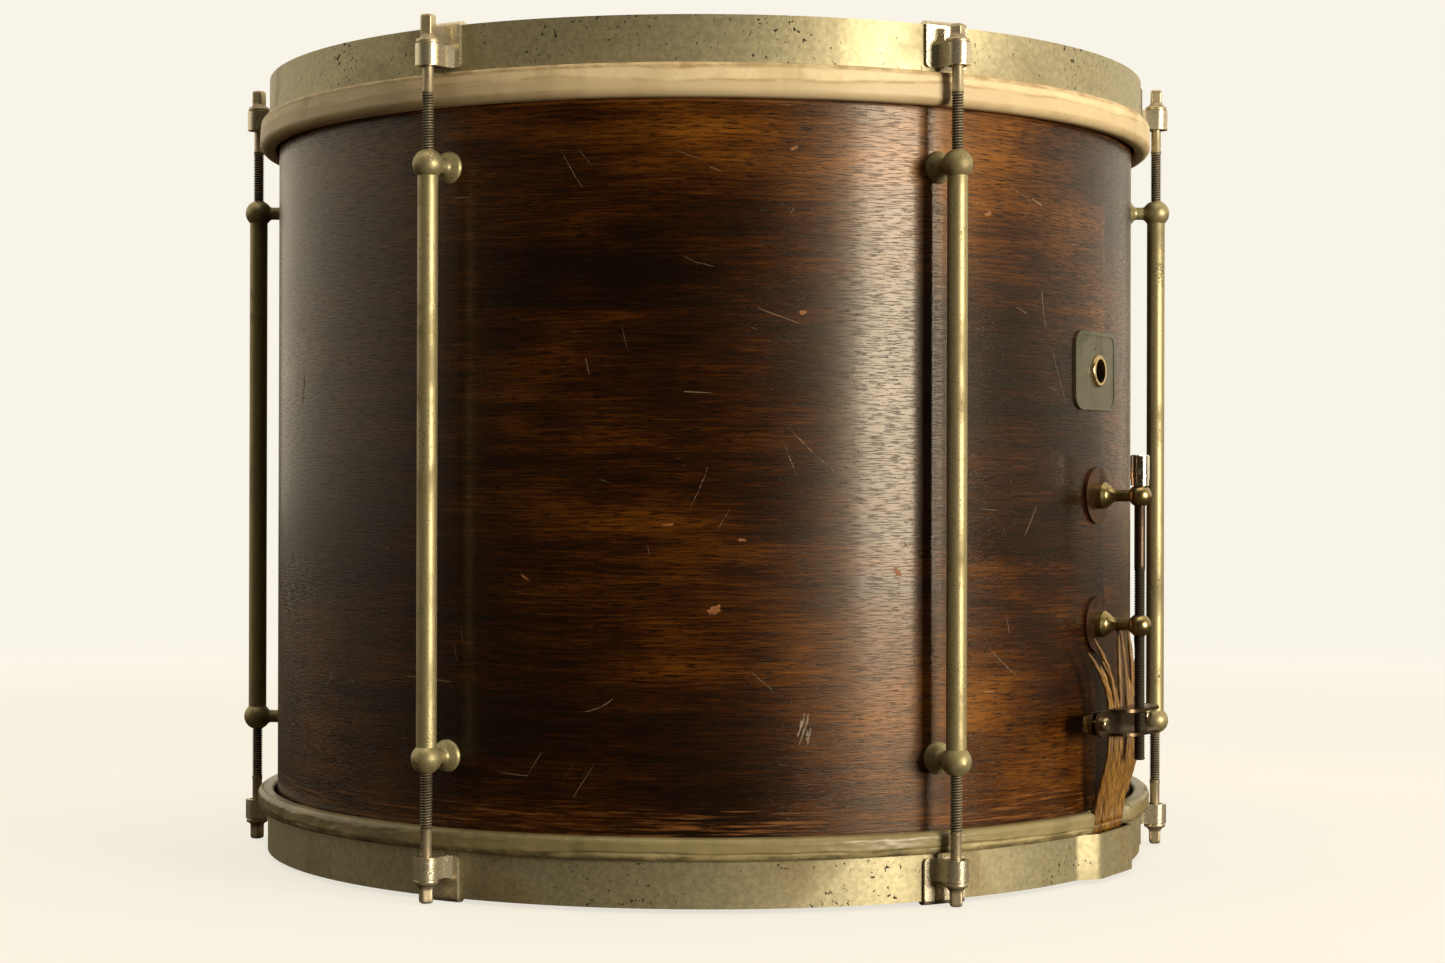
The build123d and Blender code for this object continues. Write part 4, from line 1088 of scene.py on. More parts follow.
@dataclass
class ShellMarks:
    """The lacquer's scratches, scuffs and chips as thin slivers lying on the wall."""

    scars: tuple[Scar, ...] = SHELL_SCARS
    rows: int = 30
    lift: float = 0.05 * MM
    scuff_width: float = 0.65
    scuff_strokes: int = 7
    bow_share: float = 0.35
    hair_depth: float = 0.62
    narrowest: float = 0.35
    unevenness: float = 0.7
    wander: float = 0.25
    chip_corners: int = 22
    chip_core: float = 0.7
    chip_edge: float = 1.2
    seed: int = 5
    points: list = field(default_factory=list)
    faces: list = field(default_factory=list)
    values: dict = field(default_factory=lambda: {"cut": [], "deep": [], "depth": []})

    def put(self, scar: Scar, along: float, across: float, cut: float, depth: float) -> int:
        """Add one point of a mark.

        Args:
            scar: the mark.
            along: distance from its middle along it, in millimetres.
            across: distance across it, in millimetres.
            cut: 1 in the mark's middle, 0 at its edge.
            depth: how strongly the mark shows here.
        Returns:
            The point's number.
        """
        lean = math.radians(scar.lean)
        arc = (along * math.cos(lean) - across * math.sin(lean)) * MM
        rise = (along * math.sin(lean) + across * math.cos(lean) + scar.height) * MM
        place = outward(math.radians(scar.azimuth) + arc / SHELL_R) * (SHELL_R + self.lift)
        self.points.append((place.x, place.y, rise))
        for label, value in (("cut", cut), ("deep", float(scar.deep)), ("depth", depth)):
            self.values[label].append(value)
        return len(self.points) - 1

    def stroke(
            self, scar: Scar, middle: tuple[float, float], half_length: float, half_width: float, depth: float
    ) -> None:
        """Add one tapering stroke, uneven along its length.

        Args:
            scar: the mark that the stroke belongs to.
            middle: the stroke's middle along and across the mark, in millimetres.
            half_length: half of its length.
            half_width: half of its greatest width.
            depth: how strongly it shows.
        """
        start = len(self.points)
        for i in range(self.rows):
            u = 2 * i / (self.rows - 1) - 1
            place = Vector((u * half_length * 0.6, scar.azimuth, middle[1] * 3))
            belly = self.narrowest + (1 - self.narrowest) * (1 - u * u)
            wide = half_width * belly * (1.0 + self.unevenness * noise.noise(place))
            shown = depth * max(0.0, min(1.0, 0.85 + 1.2 * noise.noise(place * 1.7)))
            bow = scar.bow * self.bow_share * half_length * u * u
            across = middle[1] + bow + self.wander * noise.noise(place * 0.5)
            inside = 0.0 if i in (0, self.rows - 1) else 1.0
            for side, cut in ((-1, 0.0), (0, inside), (1, 0.0)):
                self.put(scar, middle[0] + u * half_length, across + side * wide, cut, shown)
        for i in range(self.rows - 1):
            for j in range(2):
                a = start + 3 * i + j
                self.faces.append([a, a + 3, a + 4, a + 1])

    def chip(self, scar: Scar, rng: random.Random) -> None:
        """Add one ragged chip.

        Args:
            scar: the mark.
            rng: source of its outline.
        """
        corners = self.chip_corners
        hub = self.put(scar, 0.0, 0.0, 1.0, 1.0)
        reach = [rng.uniform(0.72, 1.25) for _ in range(corners)]
        rings: list[list[int]] = []
        for share, cut in ((self.chip_core, 1.0), (self.chip_edge, 0.0)):
            rings.append([])
            for k, far in enumerate(reach):
                angle = 2 * math.pi * k / corners
                along = share * far * scar.half_length * math.cos(angle)
                across = share * far * scar.half_width * math.sin(angle)
                rings[-1].append(self.put(scar, along, across, cut, 1.0))
        for k in range(corners):
            m = (k + 1) % corners
            self.faces.append([hub, rings[0][k], rings[0][m]])
            self.faces.append([rings[0][k], rings[1][k], rings[1][m], rings[0][m]])

    def build(self) -> int:
        """Lay every mark on the wall as one piece.

        Returns:
            How many marks there are.
        """
        rng = random.Random(self.seed)
        for scar in self.scars:
            if scar.deep:
                self.chip(scar, rng)
            elif scar.half_width > self.scuff_width:
                for _ in range(self.scuff_strokes):
                    along = rng.uniform(-0.3, 0.3) * scar.half_length
                    across = rng.uniform(-1.0, 1.0) * scar.half_width
                    half_length = scar.half_length * rng.uniform(0.35, 0.8)
                    half_width = rng.uniform(0.35, 0.75)
                    self.stroke(scar, (along, across), half_length, half_width, rng.uniform(0.7, 1.0))
            else:
                self.stroke(scar, (0.0, 0.0), scar.half_length, scar.half_width, self.hair_depth)
        marks = add_piece("shell_marks", np.array(self.points), self.faces,
                          {label: np.array(numbers) for label, numbers in self.values.items()})
        SCRAPE.dress(marks)
        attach(marks, "drum")
        return len(self.scars)


# ---- Heads -------------------------------------------------------------------------------------------
class Side(Enum):
    """Which end of the drum a head closes."""

    TOP = 1
    BOTTOM = -1


@dataclass
class Head:
    """A skin lapped round its flesh hoop, with the hoop inside it."""

    side: Side
    skin_node: str
    hoop_node: str
    body: str
    skin_slot: str
    finish: Finish
    columns: int = 720
    disc: tuple[float, ...] = (0.0, 0.03, 0.06, 0.09, 0.12, 0.145, 0.165, 0.178, 0.184)
    thickness: float = 0.45 * MM
    edge_round: float = 3.5 * MM
    edge_turn: float = 0.75                   # how far the skin turns over the bearing edge, in radians
    edge_share: float = 0.9
    shell_gap: float = 1.1 * MM
    shoulder: float = 1.6 * MM
    shoulder_drop: float = 2.4 * MM
    lap_round: float = 3.3 * MM
    tuck_round: float = 1.9 * MM
    tuck_end: float = 2.2 * MM
    skin_over_hoop: float = 0.5 * MM
    wood_gap: float = 0.6 * MM                # between the skin's inside and the wood
    wood_round: float = 1.4 * MM
    crease_share: float = 0.42
    crease_step: float = 0.30 * MM
    crease_width: float = 0.045
    # strength of the painted shade in the crease and just under the counter hoop
    crease_shade: float = 0.75
    under_hoop_shade: float = 0.8
    pucker: float = 0.12 * MM
    wobble: float = 0.22 * MM
    wrinkle: float = 0.10 * MM
    notch_half: float = 18.4 * MM
    notch_offset: float = 1.5 * MM
    notched: bool = False
    notch_depth: float = 4.6 * MM
    top: float = field(init=False)
    tuck: float = field(init=False)
    low: float = field(init=False)
    outer: float = field(init=False)
    inner: float = field(init=False)

    def __post_init__(self) -> None:
        """Read the skin's own sizes from the frame, as distances from the drum's middle."""
        low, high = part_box(self.skin_node)
        hoop_low, hoop_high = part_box(self.hoop_node)
        if self.side is Side.TOP:
            self.top, self.low = high.z - MID_HEIGHT, low.z - MID_HEIGHT
            self.tuck = hoop_high.z - MID_HEIGHT + self.skin_over_hoop
        else:
            self.top, self.low = MID_HEIGHT - low.z, MID_HEIGHT - high.z
            self.tuck = MID_HEIGHT - hoop_low.z + self.skin_over_hoop
        self.outer = (high.x - low.x) / 2
        self.inner = SHELL_R + self.shell_gap

    def outer_profile(self) -> np.ndarray:
        """The skin's outside face from the drum's axis to its tucked edge.

        Returns:
            Radius, height and lap share (0 on the playing disc, 0 to 1 down the lap) of each point.
        """
        points = [(r, self.top, 0.0) for r in self.disc]
        bend, bow = SHELL_R - self.edge_round, self.edge_round * self.edge_share
        for a in np.linspace(0.0, self.edge_turn, 6):
            points.append((bend + bow * math.sin(a), self.top - bow * (1 - math.cos(a)), 0.0))
        r0, r1 = self.inner + 0.9 * MM, self.outer
        z0, z1 = self.tuck, self.low
        points += [(r0 + 0.6 * MM, z0 + 0.12 * MM, 0.0), (r0 + 1.8 * MM, z0, 0.0)]
        k = self.shoulder
        for a in np.linspace(0.0, math.pi / 2, 6):
            points.append((r1 - k + k * math.sin(a), z0 - k + k * math.cos(a), 0.02))
        k = self.lap_round
        points += [(r1, z, (z0 - z) / (z0 - z1)) for z in np.linspace(z0 - self.shoulder_drop, z1 + k, 14)]
        for a in np.linspace(0.2, math.pi / 2, 8):
            points.append((r1 - k + k * math.cos(a), z1 + k - k * math.sin(a), 1.0))
        k = self.tuck_round
        for a in np.linspace(0.0, math.pi / 2, 6):
            points.append((r0 + 1.2 * MM - k * math.sin(a), z1 + k - k * math.cos(a), 1.0))
        points.append((r0 - 0.7 * MM, z0 - self.tuck_end, 1.0))
        return np.array(points)

    def phases(self) -> list[float]:
        """Six seeded phases for the waves round this head."""
        rng = random.Random(self.skin_node)
        return [rng.uniform(0, 2 * math.pi) for _ in range(6)]

    def drift(self, azimuths: np.ndarray) -> np.ndarray:
        """How far the crease wanders up and down the lap, as a share of it.

        Args:
            azimuths: where it is read.
        Returns:
            The shift at each azimuth.
        """
        phases = self.phases()
        return ripple(azimuths, [(3, 0.08, phases[0]), (7, 0.06, phases[1]), (17, 0.03, phases[2]),
                                 (41, 0.018, phases[3])])

    def shaped(self, azimuths: np.ndarray, profile: np.ndarray, inset: float) -> np.ndarray:
        """Spin a profile round the drum with its crease, puckers and notches.

        Args:
            azimuths: the columns' azimuths.
            profile: radius, height and lap share of each point.
            inset: how far inside the skin's outside face the profile lies.
        Returns:
            Points, profile by profile point.
        """
        drift = self.drift(azimuths)
        phases = self.phases()
        swell = ripple(azimuths, [(5, 0.5, phases[3]), (11, 0.35, phases[4]), (29, 0.2, phases[5])])
        made = np.zeros((len(profile), len(azimuths), 3))
        for i, (r, z, lap) in enumerate(profile):
            radius = np.full_like(azimuths, r)
            height = np.full_like(azimuths, z)
            if lap > 0.0:
                fold = smooth_step(lap - drift, self.crease_share - 0.04, self.crease_share + 0.05)
                radius = radius - self.crease_step * (1 - fold) - self.wobble * (0.5 + 0.5 * swell)
                for j, azimuth in enumerate(azimuths):
                    place = Vector((math.sin(azimuth) * 38.0, math.cos(azimuth) * 38.0, lap * 1.3))
                    radius[j] += self.wrinkle * noise.fractal(place, 0.6, 2.2, 3)
                height = height + self.pucker * swell * lap
            if self.notched:
                for azimuth in (GATE_AZIMUTH, GATE_AZIMUTH + math.pi):
                    turn = (azimuths - azimuth + math.pi) % (2 * math.pi) - math.pi
                    offset = self.notch_offset if azimuth == GATE_AZIMUTH else -self.notch_offset
                    reach = self.notch_half - np.abs(turn * self.outer - offset)
                    pinch = smooth_step(reach, -0.6 * MM, 1.2 * MM)
                    limit = self.outer - self.notch_depth - inset
                    radius = np.where(radius > limit, radius + (limit - radius) * pinch, radius)
            made[i, :, 0] = radius * np.sin(azimuths)
            made[i, :, 1] = -radius * np.cos(azimuths)
            made[i, :, 2] = MID_HEIGHT + self.side.value * height
        return made

    def closed_profile(self) -> np.ndarray:
        """The whole section: outside face, then the inside face back to the axis.

        Returns:
            The section's points.
        """
        outside = self.outer_profile()
        steps = np.diff(outside[:, :2], axis=0)
        steps = np.vstack([steps[:1], steps])
        ahead = np.vstack([steps[1:], steps[-1:]])
        along = sum(run / np.linalg.norm(run, axis=1)[:, None] for run in (steps, ahead))
        along /= np.linalg.norm(along, axis=1)[:, None]
        inward = np.column_stack([along[:, 1], -along[:, 0]])
        inside = outside.copy()
        inside[:, :2] += inward * self.thickness
        inside[0, 0] = 0.0
        return np.vstack([outside, inside[::-1]])

    def build_skin(self) -> bpy.types.Object:
        """Make the skin.

        Returns:
            The skin's object.
        """
        profile = self.closed_profile()
        azimuths = np.linspace(0, 2 * math.pi, self.columns, endpoint=False)
        ring = profile[1:-1]
        body = self.shaped(azimuths, ring, 0.0).reshape(-1, 3)
        poles = np.array([[0, 0, MID_HEIGHT + self.side.value * profile[0, 1]],
                          [0, 0, MID_HEIGHT + self.side.value * profile[-1, 1]]])
        points = np.vstack([body, poles])
        flip = self.side is Side.TOP
        faces = grid_faces(len(ring), self.columns, flip=flip)
        first, last = len(body), len(body) + 1
        base = (len(ring) - 1) * self.columns
        for k in range(self.columns):
            m = (k + 1) % self.columns
            cap = [first, m, k] if not flip else [first, k, m]
            faces.append(cap)
            tail = [last, base + k, base + m] if not flip else [last, base + m, base + k]
            faces.append(tail)
        lap = np.append(np.repeat(ring[:, 2], self.columns), (0.0, 0.0))
        lap -= np.append(np.tile(self.drift(azimuths), len(ring)), (0.0, 0.0)) * (lap > 0.03)
        # painted shade on the lap: one value marks the lap below its crease, the other the crease itself, the
        # band just under the counter hoop and the lap's underside
        fold = smooth_step(lap, self.crease_share - 0.06, self.crease_share + 0.10)
        crease = np.exp(-((lap - self.crease_share) / self.crease_width) ** 2) * self.crease_shade
        under_hoop = smooth_step(-lap, -0.10, -0.02) * (lap > 0.0) * self.under_hoop_shade
        lap_shade = np.clip(np.maximum(crease, under_hoop) + 0.5 * smooth_step(lap, 0.92, 1.1), 0, 1)
        return add_piece(self.skin_node + "_skin", points, faces, {"lap_shade": lap_shade, "fold": fold})

    def build_hoop(self) -> bpy.types.Object:
        """Make the bent wooden ring inside the lap.

        Returns:
            The ring's object.
        """
        gap, soft = self.thickness + self.wood_gap, self.wood_round
        r0, r1 = self.inner + 1.3 * MM + soft, self.outer - gap - 0.4 * MM - soft
        z0, z1 = self.low + gap + 0.2 * MM + soft, self.tuck - gap - 0.2 * MM - soft
        section = []
        for r, z, start in ((r1, z0, -90), (r1, z1, 0), (r0, z1, 90), (r0, z0, 180)):
            for a in (0, 30, 60, 90):
                angle = math.radians(start + a)
                section.append((r + soft * math.cos(angle), z + soft * math.sin(angle), 0.0))
        profile = np.array(section)
        columns = self.columns // 2
        azimuths = np.linspace(0, 2 * math.pi, columns, endpoint=False)
        points = self.shaped(azimuths, profile, 0.9 * MM).reshape(-1, 3)
        faces = grid_faces(len(profile), columns, close_rows=True, flip=self.side is Side.BOTTOM)
        return add_piece(self.hoop_node + "_wood", points, faces)

    def build(self) -> int:
        """Make the skin and its hoop in place of the plain ones.

        Returns:
            How many pieces were made.
        """
        skin = self.build_skin()
        self.finish.dress(skin)
        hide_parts(self.skin_node)
        hoop = self.build_hoop()
        FLESH_WOOD.dress(hoop)
        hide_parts(self.hoop_node)
        for piece in (skin, hoop):
            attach(piece, self.body)
        return 2


# ---- Hoops and claws ---------------------------------------------------------------------------------
@dataclass
class HoopAndClaws:
    """A strap hoop with the six claws that pull it down."""

    hoop: str
    claw_prefix: str
    edge: float = 0.35 * MM
    claw_edge: float = 0.30 * MM
    sharp: float = math.radians(40)

    def soften(self, node: str, width: float) -> None:
        """Round a frame node's sharp edges.

        Args:
            node: the node's name.
            width: size of the rounding.
        """
        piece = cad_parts[node]
        bevel = piece.modifiers.new("soft_edges", "BEVEL")
        bevel.width = width
        bevel.segments = 2
        bevel.limit_method = "ANGLE"
        bevel.angle_limit = self.sharp
        bevel.harden_normals = False
        smooth = piece.modifiers.new("even_normals", "WEIGHTED_NORMAL")
        smooth.keep_sharp = False
        smooth.weight = 80

    def build(self) -> int:
        """Dress the hoop and its claws.

        Returns:
            How many pieces were dressed.
        """
        claws = [f"{self.claw_prefix}_{number}" for number in LUG_NUMBERS]
        HOOP_NICKEL.dress_nodes(self.hoop)
        CLAW_NICKEL.dress_nodes(*claws)
        self.soften(self.hoop, self.edge)
        for claw in claws:
            self.soften(claw, self.claw_edge)
        return 1 + len(claws)


# ---- Threaded rods -----------------------------------------------------------------------------------
@dataclass
class Turning:
    """Rings of points about an upright axis, stacked into one closed piece."""

    columns: int = 32
    rings: list[np.ndarray] = field(default_factory=list)
    heights: list[np.ndarray] = field(default_factory=list)
    grooves: list[np.ndarray] = field(default_factory=list)

    def angles(self) -> np.ndarray:
        """Angles of the points in a ring."""
        return np.linspace(0, 2 * math.pi, self.columns, endpoint=False)

    def ring(self, height: float, radius: float | np.ndarray, groove: float | np.ndarray = 0.0) -> None:
        """Add a ring.

        Args:
            height: its height along the axis.
            radius: one radius, or one for each point.
            groove: share of grime and painted shade, one or one for each point.
        """
        self.rings.append(np.broadcast_to(np.asarray(radius, float), self.columns).copy())
        self.heights.append(np.full(self.columns, height))
        self.grooves.append(np.broadcast_to(np.asarray(groove, float), self.columns).copy())

    def thread(
            self, start: float, stop: float, crest: float, depth: float, pitch: float, per_turn: int = 6
    ) -> None:
        """Add a real screw thread.

        Args:
            start: lowest height.
            stop: highest height.
            crest: radius over the crests.
            depth: depth of the groove.
            pitch: height of one turn.
            per_turn: rings in each turn.
        """
        angles = self.angles()
        for height in np.arange(start, stop, pitch / per_turn):
            phase = (height / pitch - angles / (2 * math.pi)) % 1.0
            sink = np.clip(1.45 * np.abs(2 * phase - 1.0) - 0.15, 0.0, 1.0)
            runout = min(1.0, (stop - height) / (1.5 * pitch), (height - start) / pitch + 0.15)
            # grime over the whole thread, with painted shade deepening it in the troughs
            self.ring(height, crest - depth * sink * runout, 0.42 + 0.58 * sink * runout)

    def square(self, height: float, across: float, turn: float, corner: float, groove: float = 0.0) -> None:
        """Add a ring of a square section with soft corners.

        Args:
            height: its height along the axis.
            across: size across the flats.
            turn: angle of the flats.
            corner: sharpness of the corners.
            groove: share of grime and painted shade.
        """
        angles = self.angles() - turn
        spread = (np.abs(np.cos(angles)) ** corner + np.abs(np.sin(angles)) ** corner) ** (-1 / corner)
        self.ring(height, across / 2 * spread, groove)

    def piece(self, name: str, axis: Vector, flipped: bool = False) -> bpy.types.Object:
        """Close the ends and make the object.

        Args:
            name: the piece's name.
            axis: a point on its axis.
            flipped: heights run down from the drum's middle instead of up.
        Returns:
            The object.
        """
        angles = self.angles()
        sign = -1.0 if flipped else 1.0
        turn = -angles if flipped else angles
        points = []
        for radii, heights in zip(self.rings, self.heights):
            points += [(axis.x + r * math.cos(a), axis.y + r * math.sin(a), MID_HEIGHT + sign * h)
                       for r, h, a in zip(radii, heights, turn)]
        rows = len(self.rings)
        faces = grid_faces(rows, self.columns)
        faces.append(list(range(self.columns))[::-1])
        faces.append([(rows - 1) * self.columns + k for k in range(self.columns)])
        groove = np.concatenate(self.grooves)
        return add_piece(name, np.array(points), faces, {"groove": groove})


COLLAR_PROFILE = (                            # rise above the eye, step in from the collar's radius, grime and painted shade
    (0.01 * MM, 0.3 * MM, 0.5),
    (0.3 * MM, 0.0, 0.1),
    (1.0 * MM, 0.0, 0.0),
    (1.7 * MM, 0.05 * MM, 0.0),
    (2.0 * MM, 0.4 * MM, 0.2),
    (2.1 * MM, 0.9 * MM, 0.5),
)
KEY_PROFILE = (                               # fall from the head's end, share of its size, corners
    (0.75 * MM, 0.965, 9.0),
    (0.3 * MM, 0.88, 6.0),
    (0.05 * MM, 0.66, 4.0),
)


@dataclass
class TensionRod:
    """A rod with a screw thread, a bright shank, a collar and a worn square head."""

    number: int
    side: Side
    key_turn: float
    radius: float = 203.5 * MM
    crest: float = 2.415 * MM
    depth: float = 0.60 * MM
    pitch: float = 1.058 * MM
    shank: float = 2.15 * MM
    collar: float = 4.75 * MM
    flare: float = 3.1 * MM
    flare_rise: float = 2.9 * MM
    key_rise: float = 3.6 * MM
    eye_base: float = 152.0 * MM
    eye_height: float = 8.5 * MM
    shank_length: float = 9.6 * MM
    thread_shown: float = 34.0 * MM
    reach: float = 60.0 * MM
    key: float = 4.75 * MM

    def build(self) -> bpy.types.Object:
        """Make the rod in place of the plain one.

        Returns:
            The rod's object.
        """
        node = ("top_rod_" if self.side is Side.TOP else "bottom_rod_") + str(self.number)
        low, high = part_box(node)
        end = high.z - MID_HEIGHT if self.side is Side.TOP else MID_HEIGHT - low.z
        rod = Turning()
        foot = self.eye_base - self.reach
        stop = self.eye_base - self.shank_length
        rod.ring(foot, self.crest - 0.5 * MM)
        rod.ring(foot + 0.5 * MM, self.crest - 0.05 * MM)
        rod.ring(stop - self.thread_shown - 0.1 * MM, self.crest - 0.05 * MM)
        rod.thread(stop - self.thread_shown, stop, self.crest, self.depth, self.pitch)
        rod.ring(stop + 0.1 * MM, self.crest - 0.1 * MM, 0.3)
        rod.ring(stop + 0.5 * MM, self.shank, 0.1)
        eye_top = self.eye_base + self.eye_height
        rod.ring(eye_top - 0.2 * MM, self.shank)
        rod.ring(eye_top, self.shank, 0.6)
        for rise, step, dirt in COLLAR_PROFILE:
            rod.ring(eye_top + rise, self.collar - step, dirt)
        rod.ring(eye_top + self.flare_rise, self.flare, 0.3)
        base = eye_top + self.key_rise
        rod.square(base, self.key + 0.1 * MM, self.key_turn, 6.0, 0.35)
        rod.square(base + 0.7 * MM, self.key, self.key_turn, 10.0, 0.1)
        for share in (0.35, 0.65, 0.85):
            rod.square(base + share * (end - base), self.key * (1 - 0.03 * share), self.key_turn, 11.0)
        for fall, share, corner in KEY_PROFILE:
            rod.square(end - fall, self.key * share, self.key_turn, corner)
        rod.ring(end, self.key * 0.2)
        axis = outward(lug_azimuth(self.number)) * self.radius
        piece = rod.piece(node + "_threaded", axis, self.side is Side.BOTTOM)
        ROD_STEEL.dress(piece)
        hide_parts(node)
        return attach(piece, node)


# ---- Lugs --------------------------------------------------------------------------------------------
@dataclass
class Lugs:
    """The six long tubes on their pairs of ball posts."""

    def build(self) -> int:
        """Dress tubes and posts.

        Returns:
            How many pieces were dressed.
        """
        names = [f"lug_tube_{n}" for n in LUG_NUMBERS] + [f"lug_posts_{n}" for n in LUG_NUMBERS]
        LUG_NICKEL.dress_nodes(*names)
        return len(names)


# ---- Badge -------------------------------------------------------------------------------------------
@dataclass
class Badge:
    """The blank vent badge and its eyelet."""

    plate: str = "badge"
    eyelet: str = "vent_grommet"

    def build(self) -> int:
        """Dress the plate's field, its raised border and the eyelet.

        Returns:
            How many pieces were dressed.
        """
        BADGE_PLATE.dress_nodes(self.plate)
        GROMMET_BRASS.dress_nodes(self.eyelet)
        return 2


# ---- Strainer ----------------------------------------------------------------------------------------
@dataclass
class Strainer:
    """The screw strainer: posts on rosettes, the long screw with its cap, and the clamp."""

    rod_node: str = "strainer_rod"
    radius: float = 209.8 * MM
    crest: float = 2.30 * MM
    depth: float = 0.42 * MM
    pitch: float = 1.058 * MM
    thread_top: float = 128.0 * MM

    def build_screw(self) -> bpy.types.Object:
        """Make the long screw in place of the plain one.

        Returns:
            The screw's object.
        """
        low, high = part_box(self.rod_node)
        foot, top = low.z - MID_HEIGHT, high.z - MID_HEIGHT
        stop = self.thread_top - MID_HEIGHT
        screw = Turning()
        screw.ring(foot, self.crest - 0.6 * MM)
        screw.ring(foot + 0.1 * MM, self.crest - 0.5 * MM)
        screw.thread(foot + 0.5 * MM, stop, self.crest, self.depth, self.pitch)
        screw.ring(stop + 0.2 * MM, self.crest - 0.05 * MM, 0.2)
        screw.ring(top - 0.3 * MM, self.crest - 0.05 * MM)
        screw.ring(top, self.crest - 0.3 * MM)
        piece = screw.piece("strainer_screw", outward(GATE_AZIMUTH) * self.radius)
        STRAINER_STEEL.dress(piece)
        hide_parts(self.rod_node)
        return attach(piece, "strainer_rod")

    def build(self) -> int:
        """Dress the strainer and make its screw.

        Returns:
            How many pieces were made or dressed.
        """
        dressed = (
            (STRAINER_BRASS, ("strainer_posts",)),
            (ROSETTE_COPPER, ("strainer_rosettes",)),
            (CAP_NICKEL, ("strainer_cap",)),
            (CLAMP_BRONZE, ("clamp_channel", "clamp_jaw", "butt_plate", "butt_jaw")),
            (CLAMP_SCREW_BRASS, ("clamp_screws", "butt_screws")),
        )
        for finish, names in dressed:
            finish.dress_nodes(*names)
        self.build_screw()
        return 1 + sum(len(names) for _, names in dressed)


# ---- Gut ---------------------------------------------------------------------------------------------
@dataclass
class GutSnares:
    """Twisted gut strands from their free ends through the clamp, under the lower head, to the butt."""

    places: tuple[float, ...] = (-14.0, -11.6, -8.3, -5.6, -1.8, 0.6, 3.0, 5.3, 7.7, 10.1, 12.5, 14.9, 17.2)
    clamp_radius: float = 202.35 * MM
    edge_radius: float = 195.2 * MM
    butt_radius: float = 192.95 * MM
    gate_height: float = 22.7 * MM
    under_height: float = 16.25 * MM
    clamp_height: float = 65.3 * MM
    butt_height: float = 52.1 * MM
    strand: float = 0.95 * MM
    sides: int = 10
    frayed: float = 0.45                      # size of a free end, as a share of the strand
    fray_points: int = 4
    turns: float = 900.0                      # twist in radians per metre
    lobe: float = 0.13
    loose_count: int = 4                      # strands that fan out to the left of the rod
    ribbon_width: float = 1.32                # how much wider than thick the others are
    middle: float = 1.5 * MM
    gate_squeeze: float = 0.86
    clamp_half: float = 6.0 * MM
    clear_of_edge: float = 8.0 * MM
    seed: int = 11

    def tube(self, path: list[Vector], index: int, taper: bool, wide: float) -> tuple[np.ndarray, list, dict]:
        """Make one strand along a path.

        Args:
            path: points along its middle.
            index: which strand it is.
            taper: fray its first end thin.
            wide: how much wider than thick the strand is.
        Returns:
            Points, faces and the values kept on the points.
        """
        points, values = [], {"around": [], "along": [], "strand": [], "groove": []}
        normal = outward(GATE_AZIMUTH)
        run = 0.0
        for i, place in enumerate(path):
            ahead = path[min(i + 1, len(path) - 1)] - path[max(i - 1, 0)]
            ahead.normalize()
            side = ahead.cross(normal)
            if side.length < 0.2:
                side = sideways(GATE_AZIMUTH)
            side.normalize()
            normal = side.cross(ahead).normalized()
            run += (path[i] - path[i - 1]).length if i else 0.0
            grown = min(1.0, i / self.fray_points)
            size = self.strand * (self.frayed + (1 - self.frayed) * grown) if taper else self.strand
            for k in range(self.sides):
                angle = 2 * math.pi * k / self.sides
                twist = angle * 2 - run * self.turns + index
                lobe = 1.0 + self.lobe * math.cos(twist)
                out = side * (size * lobe * wide * math.cos(angle))
                points.append(place + out + normal * (size * lobe * 0.92 * math.sin(angle)))
                values["around"].append(angle / math.pi if k * 2 < self.sides else 2 - angle / math.pi)
                values["along"].append(run)
                values["strand"].append(index * 0.37)
                # where the twist's lobe is thinnest; the finish paints shade there
                values["groove"].append(max(0.0, -math.cos(twist)) * 0.8)
        faces = grid_faces(len(path), self.sides)
        faces.append(list(range(self.sides))[::-1])
        faces.append([(len(path) - 1) * self.sides + k for k in range(self.sides)])
        return np.array([tuple(p) for p in points]), faces, values

    def at(self, across: float, radius: float, height: float) -> Vector:
        """A point near the gate from its place across the gut, its radius and its height."""
        return sideways(GATE_AZIMUTH) * across + outward(GATE_AZIMUTH) * radius + Vector((0, 0, height))

    def tail_path(self, index: int, rng: random.Random) -> list[Vector]:
        """One strand from its free end down through the clamp to the gate.

        Args:
            index: which strand.
            rng: the source of its small differences.
        Returns:
            Points, free end first.
        """
        across = self.places[index] * MM
        spread = (self.places[index] - 1.5) / 16.5
        loose = index < self.loose_count
        length = (30.0 + rng.uniform(-8.0, 6.0) if loose else 33.0 + rng.uniform(-10.0, 10.0)) * MM
        lean = (-9.0 if loose else 1.5) * MM * (0.6 + 0.7 * rng.random()) + spread * 2.0 * MM
        sink = (1.0 + 2.5 * rng.random()) * MM
        curl = rng.uniform(-1.5, 1.5) * MM
        path = []
        for t in np.linspace(1.0, 0.0, 16):
            path.append(self.at(across + lean * t ** 1.6 + curl * math.sin(t * 5.0) * t,
                                self.clamp_radius - sink * t ** 2 * 1.4,
                                self.clamp_height + self.clamp_half + (length - self.clamp_half) * t))
        for height in np.linspace(self.clamp_height + 4.0 * MM, self.clamp_height - 7.0 * MM, 6):
            path.append(self.at(across, self.clamp_radius, height))
        gate_across = self.middle + (across - self.middle) * self.gate_squeeze + rng.uniform(-0.5, 0.5) * MM
        top, bottom = self.clamp_height - 8.5 * MM, self.gate_height
        for t in np.linspace(0.08, 1.0, 18):
            wave = rng.uniform(-0.12, 0.12) * MM
            ease = smooth_step(t, 0.0, 1.0)
            path.append(self.at(across + (gate_across - across) * ease + wave,
                                self.clamp_radius + (self.edge_radius - self.clamp_radius) * ease,
                                top + (bottom - top) * t))
        return path

